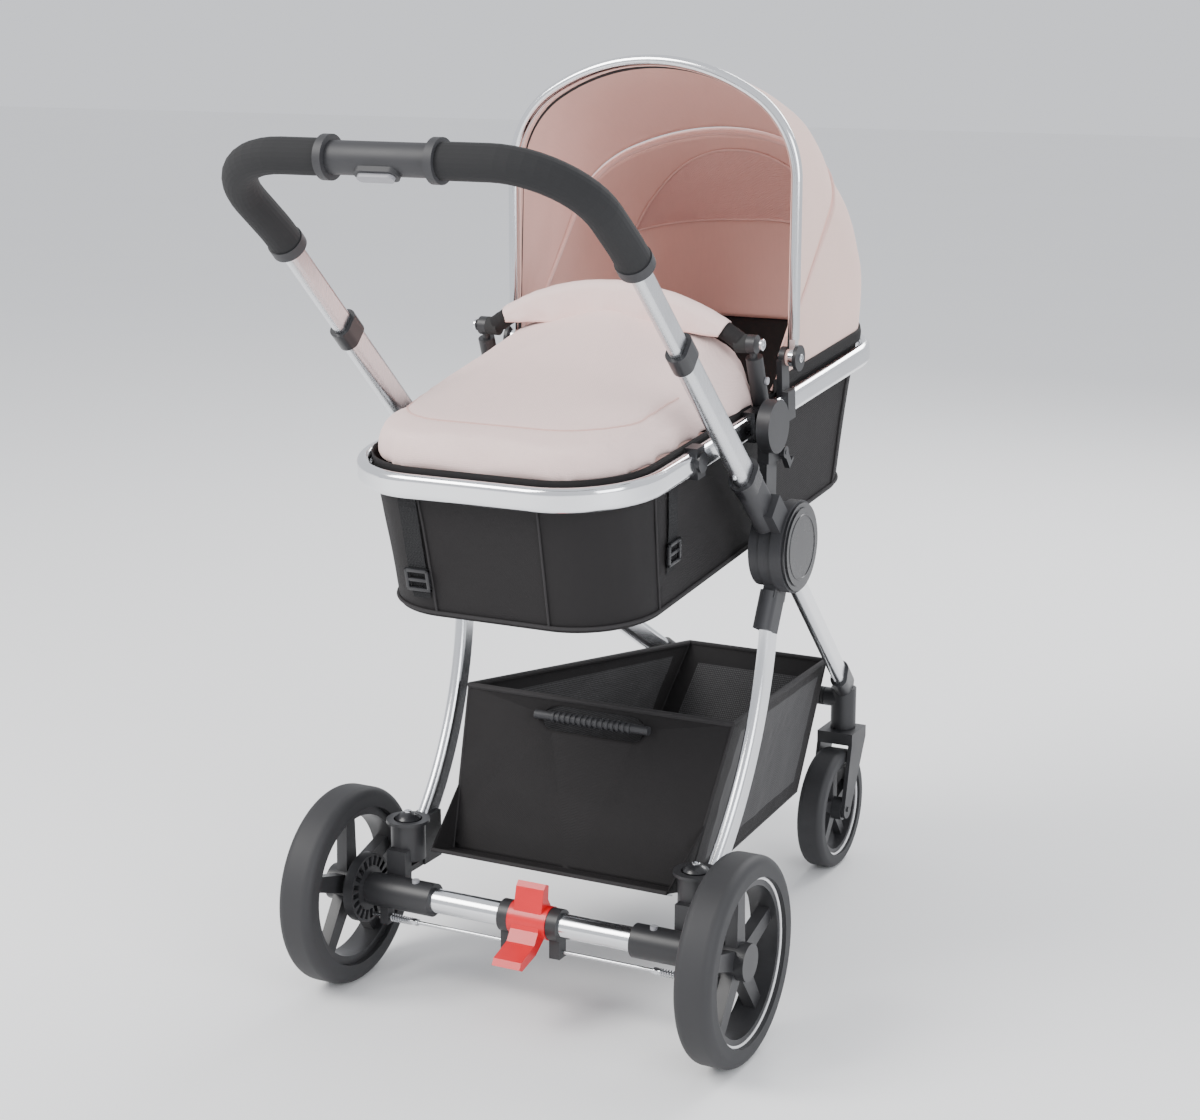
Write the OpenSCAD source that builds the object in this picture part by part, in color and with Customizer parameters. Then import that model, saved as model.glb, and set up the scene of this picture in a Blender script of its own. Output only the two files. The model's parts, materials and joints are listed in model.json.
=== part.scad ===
// Baby pram: a folding four-wheel chassis with a carrycot, hood and push handle.
// X runs across the pram, +Y points to the front wheels and +Z up. The floor is Z = 0.

/* [Overall] */
// Width over the rear tyres
overall_w = 611; // [560:1:720]
// Distance from the rear axle to the castor swivel line
wheelbase = 731; // [700:1:860]
// Distance of the fold pivot in front of the rear axle
hub_y = 250; // [230:1:280]
// Height of the fold pivot above the floor
hub_z = 597; // [560:1:700]

/* [Wheels] */
// Diameter of a rear wheel
rear_d = 264; // [236:1:290]
// Width of a rear tyre
rear_tyre_w = 49; // [42:1:56]
// Diameter of a front wheel
front_d = 180; // [156:1:200]
// Width of a front tyre
front_tyre_w = 40; // [34:1:46]
// Distance between the two castor swivels
castor_track = 273; // [250:1:300]
// Distance of a front axle behind its swivel line
castor_trail = 45; // [36:1:50]
// Number of spokes in a wheel
spokes = 5; // [5:1:7]
// Number of pockets that a brake pin can drop into
brake_pockets = 20; // [16:4:24]

/* [Tubes] */
// Depth of a leg's oval tube
leg_w = 34; // [28:1:38]
// Thickness of a leg's oval tube
leg_t = 17; // [14:1:18]
// Depth of the lower push tube
arm_w = 37; // [34:1:42]
// Thickness of the lower push tube
arm_t = 21; // [20:1:22]
// Wall of the aluminium tubes
wall = 2; // [1.5:0.1:2.4]
// Diameter of the rear axle tube
axle_d = 32; // [28:1:34]

/* [Push handle] */
// Slope of the push tubes above the horizontal
arm_tilt = 43.5; // [38:0.5:50]
// Length of the push tubes from the fold pivot to the telescope collar
arm_len = 416; // [380:1:480]
// Length that shows between the telescope collar and the foam
upper_len = 174; // [150:1:210]
// Bend radius of the handle's corners
handle_r = 97; // [80:1:110]
// Diameter of the foam
foam_d = 41; // [38:1:46]
// Width of the bare grip between the two foam pieces
grip_w = 148; // [120:1:160]

/* [Carrycot] */
// Width over the seat ring
ring_w = 406; // [380:1:440]
// Length over the seat ring
ring_l = 883; // [780:1:960]
// Outside radius of the seat ring's corners
ring_r = 120; // [100:1:140]
// Height of the seat ring's oval tube
ring_h = 31; // [26:1:34]
// Thickness of the seat ring's oval tube
ring_t = 16; // [14:1:17]
// Slope of the carrycot, head end up
cot_slope = 5.5; // [0:0.5:8]
// Depth of the carrycot below the ring's centre
cot_depth = 178; // [150:1:200]

/* [Hood] */
// Height of the hood bow above its pivots
bow_h = 382; // [330:1:420]
// Diameter of the hood bow's tube
bow_d = 14; // [12:1:16]

/* [Fits] */
// Radial clearance of a pin that turns in its bore
running = 0.05; // [0.03:0.01:0.1]
// Gap around pieces that are pressed or screwed together
snug = 0.1; // [0.05:0.05:0.2]
// Gap between pieces that slide or pass each other
free = 0.3; // [0.2:0.05:0.5]

/* [Hidden] */
$fn = 48;

ALUMINIUM = [0.80, 0.81, 0.83];
CHROME = [0.86, 0.87, 0.89];
PLASTIC = [0.10, 0.10, 0.11];
RUBBER = [0.15, 0.15, 0.16];
BLACK_CLOTH = [0.16, 0.15, 0.16];
PINK_CLOTH = [0.95, 0.86, 0.85];
HOOD_CLOTH = [0.94, 0.78, 0.74];
RED = [0.88, 0.16, 0.20];

X = [1, 0, 0];
UP = [0, 0, 1];

// Wheels and axle
rear_r = rear_d / 2;
front_r = front_d / 2;
rear_x = (overall_w - rear_tyre_w) / 2;
castor_x = castor_track / 2;
drum_in = rear_x - 36;            // inner face of the brake drum
housing_out = drum_in - 5;        // outer end of an axle housing
housing_in = housing_out - 94;    // inner end of an axle housing
housing_r = axle_d / 2 + 6;
tube_seat = 14;                   // length of axle tube held in a housing
stub_r = 6;
rod_drop = 36;                    // height of the wheel axis above the brake rods
rod_r = 2.5;
rod_travel = 8;
pin_gap = 3;                      // gap from a resting brake pin to the drum
lug_in = housing_out - 26;        // inner face of the lug that guides a brake rod
lug_t = 12;
spring_l = 32;                    // length of a brake return spring
pedal_w = 55;

// Suspension
cup_x = housing_out - 30;
cup_y = 40;
cup_r = 23;
cup_floor = rear_r + 36;
cup_top = rear_r + 90;
suspension_travel = 10;
plate_top = rear_r + 26;

// Fold pivot: layers from the inside out
arm_x = ring_w / 2 + 24;
hub_in = arm_x - 21;
inner_t = 14;
leg_disc_t = 17;
arm_disc_t = 15.5;
leg_disc_in = hub_in + inner_t + free;
arm_disc_in = leg_disc_in + leg_disc_t + free;
cap_in = arm_disc_in + arm_disc_t + free;
cap_t = 5;
inner_r = 54;
leg_disc_r = 56;
arm_disc_r = 60;
pivot_r = 9;
hub = [0, hub_y, hub_z];

// Legs
castor_top = front_d + 24;        // top of a castor fork's crown
socket_z = castor_top + 64;
front_top = [arm_x - 2, hub_y, hub_z];
front_foot = [castor_x, wheelbase + 4, socket_z];
front_len = norm(front_foot - front_top);
front_dir = (front_foot - front_top) / front_len;
front_bulge = 12;
rear_top = [leg_disc_in + leg_disc_t / 2, hub_y, hub_z];
rear_foot = [cup_x + 3, cup_y + 44, rear_r + 68];
rear_len = norm(rear_foot - rear_top);
rear_dir = (rear_foot - rear_top) / rear_len;
rear_bulge = 38;
leg_gap = 66;                     // distance from the fold pivot to the end of a leg tube
socket_len = 50;

// Push handle
upper_w = arm_w - 2 * wall - 1;
upper_t = arm_t - 2 * wall - 1;
sleeve_out = 139;
collar_travel = 12;
insert_len = 146;                 // length of upper tube inside the lower tube
foam_start = arm_len + upper_len;
pitch_r = 300;
pitch_a = 6.5;
rise = 47;
half_bar = arm_x - handle_r;
flange_d = foam_d + 9;

// Seat
seat_y = hub_y - 21;
seat_z = hub_z + 157;
post_y = hub_y - 14;
post_top = hub_z + 109;
post_w = 32;
stem = [6.8, 19.4, 34];
disc_in = hub_in + 8.5;
disc_t = 17.5;
disc_r = 34;
seat_pin_r = 8;
lever_pin = [3, 22, -38];         // radius, and place of the lever's pin from the seat pivot
ring_x = (ring_w - ring_t) / 2;
ring_head = 496;                  // head end of the ring from the seat pivot
ring_foot = ring_head - ring_l;
cot_top = 22;
cot_wall = 3;
cot_x = ring_w / 2 - ring_t - 0.6;
taper_head = 70;
taper_foot = 30;
taper_side = 12;

// Bumper bar
elbow = [cot_x + 1, 12, 101];
bumper_base = [ring_x - 1, 34, 10];
post_head = [ring_x - 1, 14, 84];
bumper_bar_r = 11;
bumper_rise = 58;
bumper_x = elbow[0] - 8;
button_lift = 0.45;               // how far up the post its release button sits

// Hood
pivot_u = 113;
pivot_w = 61;
bow_a = 90 - cot_slope;
rib_a = 48 - cot_slope;
bow_x = ring_w / 2 + 3.5;
hood_x = cot_x + 3.5;
hood_top = bow_h - bow_d;
panel_t = 3;
rib_d = 6;
pivot_pin_r = 5;
pivot_notch = 50;

// The middle of the pram's length lies at Y = 0
handle_reach = foam_start * cos(arm_tilt) + 2 * pitch_r * sin(pitch_a / 2) * cos(arm_tilt - pitch_a / 2)
    + (rise + handle_r) * cos(arm_tilt - pitch_a);
rear_most = hub_y - handle_reach - flange_d / 2;
front_most = wheelbase - castor_trail + front_r;
shift_y = -(rear_most + front_most) / 2;

// ---- Shapes that repeat ----

module placed() { translate([0, shift_y, 0]) children(); }
module sides() { children(); mirror(X) children(); }
module left() { mirror(X) children(); }

// A flat shape with round ends, w by d
module oval(w, d) {
    square([w - d, d], center = true);
    for (s = [-1, 1]) translate([s * (w - d) / 2, 0]) circle(d = d);
}
module tube_section(w, d, t) {
    difference() { rotate(90) oval(w, d); rotate(90) oval(w - 2 * t, d - 2 * t); }
}
module sleeve_section(w, d, inner_w, inner_d) {
    difference() { rotate(90) oval(w, d); rotate(90) oval(inner_w, inner_d); }
}

// Sweeps a section from the XY plane along +Z, bending towards +Y
module bend(radius, angle) {
    translate([0, radius, 0]) rotate([90, 0, -90])
        rotate_extrude(angle = angle, $fn = 96) translate([radius, 0]) rotate(90) children();
}

// Follows steps: [length] is straight, [radius, angle, roll] bends towards the rolled +Y
module run(steps, i = 0) {
    if (i < len(steps)) {
        s = steps[i];
        if (len(s) == 1) {
            linear_extrude(s[0]) children();
            translate([0, 0, s[0]]) run(steps, i + 1) children();
        } else rotate(s[2]) {
            bend(s[0], s[1]) rotate(-s[2]) children();
            translate([0, s[0], 0]) rotate([-s[1], 0, 0]) translate([0, -s[0], 0])
                rotate(-s[2]) run(steps, i + 1) children();
        }
    }
}

// A frame at a, with +Z towards b and +Y as near to side as it can be
function unit(v) = v / norm(v);
function aimed(a, b, side) = let (
    ez = unit(b - a), ex = unit(cross(side, ez)), ey = cross(ez, ex))
    [[ex[0], ey[0], ez[0], a[0]], [ex[1], ey[1], ez[1], a[1]], [ex[2], ey[2], ez[2], a[2]],
    [0, 0, 0, 1]];

// A section swept on an arc from a to b that bulges by sag towards side
module arc_tube(a, b, side, sag) {
    chord = norm(b - a);
    radius = (chord * chord / 4 + sag * sag) / (2 * sag);
    half = asin(chord / 2 / radius);
    multmatrix(aimed(a, b, -side)) rotate([half, 0, 0]) bend(radius, 2 * half) children();
}
module rod(a, b, d) { multmatrix(aimed(a, b, [0, 1, 0.01])) cylinder(d = d, h = norm(b - a)); }

// A cylinder along X from x0 to x1 about the line through y, z
module axle(r, x0, x1, y = 0, z = 0) {
    translate([x0, y, z]) rotate([0, 90, 0]) cylinder(r = r, h = x1 - x0);
}
module box(low, high) { translate(low) cube(high - low); }

// ---- Wheels ----

// A wheel centred on the origin, with its outer side towards +X
module tyre(r, w, rim_r, edge) {
    rotate([0, 90, 0]) rotate_extrude($fn = 96) {
        translate([rim_r + snug, -w / 2 + edge]) square([r - rim_r - snug, w - 2 * edge]);
        translate([rim_r + snug, -w / 2]) square([r - rim_r - snug - edge, w]);
        for (s = [-1, 1]) translate([r - edge, s * (w / 2 - edge)]) circle(edge);
    }
}
module rim(rim_r, rim_t, rim_w, hub_r, x_in, x_out) {
    rotate([0, 90, 0]) rotate_extrude($fn = 96)
        translate([rim_r - rim_t, -rim_w / 2]) square([rim_t, rim_w]);
    axle(hub_r, x_in, x_out);
    for (k = [0:spokes - 1]) rotate([k * 360 / spokes + 90, 0, 0])
        translate([-rim_w * 0.2, 0, 0]) rotate([90, 0, 90]) linear_extrude(rim_w * 0.45)
            polygon([[hub_r * 0.7, -hub_r * 0.52], [rim_r - rim_t + 2, -rim_r * 0.09],
                [rim_r - rim_t + 2, rim_r * 0.09], [hub_r * 0.7, hub_r * 0.52]]);
}
module rear_rim_shape() {
    hub_out = rear_tyre_w / 2 - 3;
    difference() {
        union() {
            rim(rear_r - 26, 11, rear_tyre_w - 14, 24, drum_in - rear_x, hub_out);
            axle(rod_drop + 10, drum_in - rear_x, drum_in - rear_x + 14);
            axle(20, housing_out + free - rear_x, drum_in - rear_x + 1);
        }
        axle(stub_r + running, housing_out - rear_x, hub_out - 5);
        for (k = [0:brake_pockets - 1]) rotate([k * 360 / brake_pockets, 0, 0])
            box([drum_in - rear_x - 1, -3.3, -rod_drop - 6.5], [drum_in - rear_x + 9, 3.3, -rod_drop + 6.5]);
    }
}
module front_rim_shape() {
    difference() {
        rim(front_r - 19, 9, front_tyre_w - 12, 17, -front_tyre_w / 2 - 1.7, front_tyre_w / 2 + 1.7);
        axle(4 + running, -front_tyre_w, front_tyre_w);
    }
}
module at_rear_wheel() { translate([rear_x, 0, rear_r]) children(); }
module at_front_wheel() { translate([castor_x, wheelbase - castor_trail, front_r]) children(); }
module rear_rim() { color(PLASTIC) at_rear_wheel() rear_rim_shape(); }
module front_rim() { color(PLASTIC) at_front_wheel() front_rim_shape(); }
module rear_tyre() { color(RUBBER) at_rear_wheel() tyre(rear_r, rear_tyre_w, rear_r - 26, 12); }
module front_tyre() { color(RUBBER) at_front_wheel() tyre(front_r, front_tyre_w, front_r - 19, 9); }

// ---- Castors ----

module castor_fork() {
    blade_in = front_tyre_w / 2 + 2;
    crown = 18;
    axle_y = wheelbase - castor_trail;
    color(PLASTIC) {
        for (s = [-1, 1]) translate([castor_x + s * (blade_in + 3) - 3, 0, 0]) {
            axle(14, 0, 6, axle_y, front_r);
            rotate([90, 0, 90]) linear_extrude(6)
                polygon([[axle_y - 14, front_r], [axle_y + 14, front_r - 2],
                    [wheelbase + 24, castor_top - crown + 1], [wheelbase - 34, castor_top - crown + 1]]);
        }
        box([castor_x - blade_in - 6, wheelbase - 34, castor_top - crown],
            [castor_x + blade_in + 6, wheelbase + 24, castor_top]);
        translate([castor_x, wheelbase, castor_top - 1]) cylinder(r = 6, h = 41);
        axle(4, castor_x - blade_in - 8, castor_x + blade_in + 8, axle_y, front_r);
    }
}
module castor_housings() {
    bar_y = wheelbase - 4;
    color(PLASTIC) sides() difference() {
        union() {
            translate([castor_x, wheelbase, castor_top + free]) cylinder(d = 38, h = 62);
            multmatrix(aimed(front_foot - front_dir * 58, front_foot, -UP))
                linear_extrude(62) rotate(90) oval(leg_w + 8, leg_t + 8);
            axle(14, castor_x - 27, castor_x, bar_y, castor_top + 46);
        }
        translate([castor_x, wheelbase, castor_top - 1]) cylinder(r = 6 + running, h = 43);
        multmatrix(aimed(front_foot - front_dir * 70, front_foot, -UP))
            linear_extrude(54) rotate(90) oval(leg_w + 2 * snug, leg_t + 2 * snug);
        axle(9 + snug, castor_x - 30, castor_x - 17, bar_y, castor_top + 46);
    }
}
module front_cross_bar() {
    color(ALUMINIUM) axle(9, -castor_x + 17 + snug, castor_x - 17 - snug, wheelbase - 4, castor_top + 46);
}
module cross_bar_bushes() {
    color(RUBBER) sides() translate([castor_x - 27 - free - 24, wheelbase - 4, castor_top + 46])
        rotate([0, 90, 0]) difference() {
            union() {
                cylinder(r = 12, h = 24);
                for (k = [0:4]) translate([0, 0, k * 5]) cylinder(r = 14, h = 3);
            }
            translate([0, 0, -1]) cylinder(r = 9 + snug, h = 26);
        }
}

// ---- Frame and fold pivot ----

module front_legs() {
    color(ALUMINIUM) sides() multmatrix(aimed(front_top + front_dir * leg_gap, front_foot, -UP))
        linear_extrude(front_len - leg_gap - 16) tube_section(leg_w, leg_t, wall);
}
module hub_inner_housings() {
    color(PLASTIC) sides() difference() {
        union() {
            axle(inner_r, hub_in, hub_in + inner_t, hub_y, hub_z);
            axle(pivot_r, hub_in, cap_in - free, hub_y, hub_z);
            multmatrix(aimed(front_top + front_dir * (leg_disc_r + 3), front_foot, -UP))
                linear_extrude(socket_len) rotate(90) oval(leg_w + 8, leg_t + 8);
            intersection() {
                box([hub_in, 0, 0], [hub_in + inner_t, wheelbase, hub_z * 2]);
                multmatrix(aimed(front_top, front_foot, -UP))
                    translate([-20, -leg_w / 2, 0]) cube([40, leg_w, leg_disc_r + 20]);
            }
        }
        multmatrix(aimed(front_top + front_dir * (leg_gap - snug), front_foot, -UP))
            linear_extrude(socket_len * 2) rotate(90) oval(leg_w + 2 * snug, leg_t + 2 * snug);
    }
}
module rear_leg_arc() {
    arc_tube(rear_top + rear_dir * leg_gap, rear_foot, [0, 1, -0.5], rear_bulge) children();
}
module rear_leg_tubes() { color(ALUMINIUM) sides() rear_leg_arc() tube_section(leg_w, leg_t, wall); }
module rear_leg_hubs() {
    color(PLASTIC) sides() difference() {
        union() {
            axle(leg_disc_r, leg_disc_in, leg_disc_in + leg_disc_t, hub_y, hub_z);
            multmatrix(aimed(rear_top + rear_dir * (arm_disc_r + 2), rear_foot, [0, 1, 0]))
                translate([0, 6, 0]) linear_extrude(socket_len) rotate(90) oval(leg_w + 14, leg_t + 7);
            intersection() {
                box([leg_disc_in, 0, 0], [leg_disc_in + leg_disc_t, wheelbase, hub_z]);
                multmatrix(aimed(rear_top, rear_foot, [0, 1, 0]))
                    translate([-20, -14, 0]) cube([40, 38, arm_disc_r + 10]);
            }
        }
        axle(pivot_r + running, leg_disc_in - 1, leg_disc_in + leg_disc_t + 1, hub_y, hub_z);
        rear_leg_arc() rotate(90) oval(leg_w + 2 * snug, leg_t + 2 * snug);
    }
}
module leg_shoes() {
    color(PLASTIC) sides() {
        difference() {
            box([cup_x - 10, cup_y + cup_r + 1, plate_top - 8], [cup_x + 16, cup_y + 68, cup_top - 7]);
            rear_leg_arc() rotate(90) oval(leg_w + 2 * snug, leg_t + 2 * snug);
        }
        box([cup_x - 8, cup_y - 9, plate_top - 8], [cup_x + 8, cup_y + cup_r + 2, plate_top]);
    }
}
module spring_domes() {
    dome_z = cup_top - 8;
    color(PLASTIC) sides() translate([cup_x, cup_y, 0]) {
        translate([0, 0, plate_top + snug / 2]) cylinder(r = 4, h = dome_z - plate_top + 1);
        translate([0, 0, dome_z]) cylinder(r = 17, h = 9);
        translate([0, 0, dome_z + 9]) rotate_extrude() intersection() {
            translate([0, -12]) circle(20.8);
            square([17, 20]);
        }
    }
}

// ---- Rear axle and brake ----

module axle_tube() {
    color(CHROME) difference() {
        axle(axle_d / 2, -housing_in - tube_seat, housing_in + tube_seat, 0, rear_r);
        axle(axle_d / 2 - wall, -rear_x, rear_x, 0, rear_r);
    }
}
module button_place() { translate([housing_in + 27, -3, 0]) children(); }
module axle_housings() {
    color(PLASTIC) sides() difference() {
        union() {
            axle(housing_r, housing_in, housing_out, 0, rear_r);
            translate([cup_x, cup_y, 0]) {
                translate([0, 0, cup_floor]) cylinder(r = cup_r, h = cup_top - cup_floor);
                translate([0, 0, cup_top - 4]) cylinder(r = cup_r + 6, h = 4);
            }
            box([cup_x - 14, 8, rear_r + 8], [cup_x + 14, cup_y - cup_r + 7, cup_floor + 18]);
            box([lug_in, -8, rear_r - rod_drop - 8], [lug_in + lug_t, 8, rear_r - housing_r + 3]);
        }
        axle(axle_d / 2 + snug, housing_in - 1, housing_in + tube_seat + snug, 0, rear_r);
        axle(stub_r + snug, housing_out - 44, housing_out + 1, 0, rear_r);
        axle(rod_r + free / 2, lug_in - 1, lug_in + lug_t + 1, 0, rear_r - rod_drop);
        translate([cup_x, cup_y, cup_floor + 6]) cylinder(r = cup_r - 4, h = cup_top);
        translate([cup_x, cup_y, cup_floor - 1]) cylinder(r = 4 + free, h = 20);
        button_place() translate([0, 0, rear_r + 5]) cylinder(r = 5 + free, h = 40);
    }
}
module wheel_release_buttons() {
    color(CHROME) sides() button_place() translate([0, 0, rear_r + 9]) cylinder(r = 5, h = housing_r - 6);
}
module stub_axles() {
    color(CHROME) sides() axle(stub_r, housing_out - 43, rear_x + rear_tyre_w / 2 - 9, 0, rear_r);
}
module pedal_brackets() {
    x0 = pedal_w / 2 + free;
    color(PLASTIC) sides() difference() {
        union() {
            axle(axle_d / 2 + 5, x0, x0 + 15, 0, rear_r);
            box([x0, -9, rear_r - rod_drop - 8], [x0 + 15, 9, rear_r]);
        }
        axle(axle_d / 2 + snug, 0, rear_x, 0, rear_r);
        axle(rod_r + free / 2, 0, rear_x, 0, rear_r - rod_drop);
    }
}
module brake_rod() {
    color(CHROME) {
        axle(rod_r, pedal_w / 2 + 2, drum_in - pin_gap, 0, rear_r - rod_drop);
        axle(4.5, lug_in - spring_l - 10, lug_in - spring_l - free, 0, rear_r - rod_drop);
    }
}
module axle_springs() {
    color(CHROME) sides() {
        difference() {
            axle(5.5, lug_in - spring_l, lug_in - free, 0, rear_r - rod_drop);
            axle(rod_r + free, 0, rear_x, 0, rear_r - rod_drop);
        }
        translate([cup_x, cup_y, cup_floor + 6 + free]) difference() {
            cylinder(r = 14, h = cup_top - 8 - cup_floor - 6 - 2 * free);
            translate([0, 0, -1]) cylinder(r = 10, h = cup_top);
        }
    }
}
module brake_pedal() {
    pad_r = 6;
    hub_r = axle_d / 2 + 6;
    color(RED) translate([-pedal_w / 2, 0, rear_r]) difference() {
        union() {
            axle(hub_r, 0, pedal_w);
            rotate([90, 0, 90]) translate([0, 0, pedal_w / 2 - 20]) linear_extrude(40) {
                polygon([[-8, 46], [-2, 52], [6, 48], [4, 30], [12, 18], [-16, 14]]);
                polygon([[-16, 14], [-24, -6], [-34, -20], [-68, -30], [-73, -38], [-66, -42],
                    [-30, -34], [-8, -20]]);
            }
        }
        axle(axle_d / 2 + running, -1, pedal_w + 1);
    }
}

// ---- Push handle ----

// Turns +Z along the right-hand push tube, away from the fold pivot
module on_arm() { translate([arm_x, hub_y, hub_z]) rotate([90 - arm_tilt, 0, 0]) children(); }
module push_tubes() {
    color(ALUMINIUM) sides() on_arm() difference() {
        translate([0, 0, leg_gap + 4]) linear_extrude(arm_len - leg_gap - 4)
            tube_section(arm_w, arm_t, wall);
        translate([0, -arm_w / 2 + 4, sleeve_out + 46]) rotate([90, 0, 0]) cylinder(r = 4.3, h = 10);
    }
}
module snap_buttons() {
    color(CHROME) sides() on_arm() translate([0, -arm_w / 2 + 0.5, sleeve_out + 46]) sphere(4);
}
module arm_hubs() {
    color(PLASTIC) sides() {
        difference() {
            union() {
                axle(arm_disc_r, arm_disc_in, arm_disc_in + arm_disc_t, hub_y, hub_z);
                on_arm() {
                    translate([0, 0, leg_disc_r + 5]) linear_extrude(sleeve_out - leg_disc_r - 5)
                        rotate(90) oval(arm_w + 7, arm_t + 7);
                    box([arm_disc_in - arm_x, -17, 0],
                        [arm_disc_in - arm_x + arm_disc_t - 3, 17, leg_disc_r + 40]);
                }
            }
            axle(pivot_r + running, arm_disc_in - 1, cap_in + 1, hub_y, hub_z);
            on_arm() translate([0, 0, leg_gap + 4 - snug]) linear_extrude(arm_len)
                rotate(90) oval(arm_w + 2 * snug, arm_t + 2 * snug);
        }
    }
}
module hub_caps() {
    color(PLASTIC) sides() {
        axle(arm_disc_r - 3, cap_in, cap_in + cap_t - 2, hub_y, hub_z);
        axle(arm_disc_r - 9, cap_in, cap_in + cap_t, hub_y, hub_z);
    }
}
module fold_collars() {
    length = 26;
    color(PLASTIC) sides() on_arm() translate([0, 0, sleeve_out + free]) {
        linear_extrude(length)
            sleeve_section(arm_w + 9, arm_t + 9, arm_w + 2 * free, arm_t + 2 * free);
        translate([0, 0, length - 5]) linear_extrude(5)
            sleeve_section(arm_w + 13, arm_t + 13, arm_w + 2 * free, arm_t + 2 * free);
    }
}
module telescope_collars() {
    color(PLASTIC) sides() on_arm() {
        translate([0, 0, arm_len - 16]) linear_extrude(16)
            sleeve_section(arm_w + 6, arm_t + 6, arm_w + 2 * snug, arm_t + 2 * snug);
        translate([0, 0, arm_len]) linear_extrude(12)
            sleeve_section(arm_w + 6, arm_t + 6, upper_w + 2 * free, upper_t + 2 * free);
    }
}
// The handle's centre line on the right, drawn in on_arm. A frame is [point, side, upper]:
// side is square to the line within the handle's plane, upper is square to that plane.
foam_end = [0, -pitch_r * (1 - cos(pitch_a)), foam_start + pitch_r * sin(pitch_a)];
bar_dir = [0, -sin(pitch_a), cos(pitch_a)];
bar_up = [0, cos(pitch_a), sin(pitch_a)];
function pitch_frame(a) = [[0, -pitch_r * (1 - cos(a)), foam_start + pitch_r * sin(a)], X, [0, cos(a), sin(a)]];
function corner_frame(a) = [foam_end + bar_dir * (rise + handle_r * sin(a)) - X * handle_r * (1 - cos(a)),
    X * cos(a) + bar_dir * sin(a), bar_up];
function handle_frames(low, cut) = concat(
    [[[0, 0, low], X, [0, 1, 0]]], low < foam_start ? [pitch_frame(0)] : [],
    [for (k = [1:3]) pitch_frame(pitch_a * k / 3)], [for (k = [0:12]) corner_frame(k * 7.5)],
    [[corner_frame(90)[0] - X * (half_bar - cut), bar_dir, bar_up]]);
function mirrored(f) = [for (v = f) [-v[0], v[1], v[2]]];
// Outlines with 24 points: an oval that is wide along its second axis, and a circle
function oval_points(w, d) = [for (k = [0:23]) let (a = k * 15 + 7.5)
    [cos(a) * d / 2, sin(a) * d / 2 + sign(sin(a)) * (w - d) / 2]];
function circle_points(d) = [for (k = [0:23]) let (a = k * 15 + 7.5) [cos(a), sin(a)] * d / 2];
// A hollow tube through frames, with an outer and an inner outline
module swept_tube(frames, outer, inner) {
    n = len(outer);
    last = len(frames) - 1;
    core = n * (last + 1);
    polyhedron(
        points = [for (edge = [outer, inner], f = frames, q = edge) f[0] + f[1] * q[0] + f[2] * q[1]],
        faces = concat(
            [for (i = [0:last - 1], j = [0:n - 1]) let (m = (j + 1) % n)
                [i * n + j, (i + 1) * n + j, (i + 1) * n + m, i * n + m]],
            [for (i = [0:last - 1], j = [0:n - 1]) let (m = (j + 1) % n)
                [core + i * n + m, core + (i + 1) * n + m, core + (i + 1) * n + j, core + i * n + j]],
            [for (j = [0:n - 1]) let (m = (j + 1) % n) [j, m, core + m, core + j]],
            [for (j = [0:n - 1]) let (m = (j + 1) % n, e = last * n)
                [e + m, e + j, core + e + j, core + e + m]]));
}
module handle_tube() {
    half = handle_frames(arm_len - insert_len, 0);
    whole = [for (f = half) [f[0] + X * arm_x, f[1], f[2]]];
    color(ALUMINIUM) on_arm() translate([-arm_x, 0, 0])
        swept_tube(concat(whole, [for (k = [len(whole) - 2:-1:0]) mirrored(whole[k])]),
            oval_points(upper_w, upper_t), oval_points(upper_w - 2 * wall, upper_t - 2 * wall));
}
module handle_foam() {
    color(RUBBER) sides() on_arm() swept_tube(handle_frames(foam_start, grip_w / 2 + snug),
        circle_points(foam_d), oval_points(upper_w + 2 * free, upper_t + 2 * free));
}
module foam_collars() {
    color(PLASTIC) sides() on_arm() translate([0, 0, foam_start - 14]) linear_extrude(14 - snug)
        difference() { circle(d = foam_d + 3); rotate(90) oval(upper_w + free, upper_t + free); }
}
// The middle of the handle bar, with +Z along -X and +Y square to the handle's plane
module at_bar() {
    on_arm() translate([0, 0, foam_start]) rotate(180) translate([0, pitch_r, 0])
        rotate([-pitch_a, 0, 0]) translate([0, -pitch_r, rise + handle_r]) rotate(-180)
            translate([-arm_x, 0, 0]) children();
}
module handle_grip() {
    color(PLASTIC) at_bar() difference() {
        union() {
            axle(foam_d / 2 - 2, -grip_w / 2, grip_w / 2);
            sides() axle(flange_d / 2, grip_w / 2 - 10, grip_w / 2);
            rotate([90, 0, 0]) linear_extrude(foam_d / 2 + 1.5) oval(56, 20);
        }
        rotate([0, 90, 0]) translate([0, 0, -grip_w]) linear_extrude(2 * grip_w)
            rotate(90) oval(upper_w + free, upper_t + free);
        rotate([90, 0, 0]) linear_extrude(foam_d) oval(46 + 2 * free, 12 + 2 * free);
    }
}
module handle_button() {
    color(PLASTIC) at_bar() rotate([90, 0, 0]) translate([0, 0, upper_w / 2 + 3])
        linear_extrude(foam_d / 2 - upper_w / 2 + 3) oval(46, 12);
}

// ---- Seat joint ----

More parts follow.
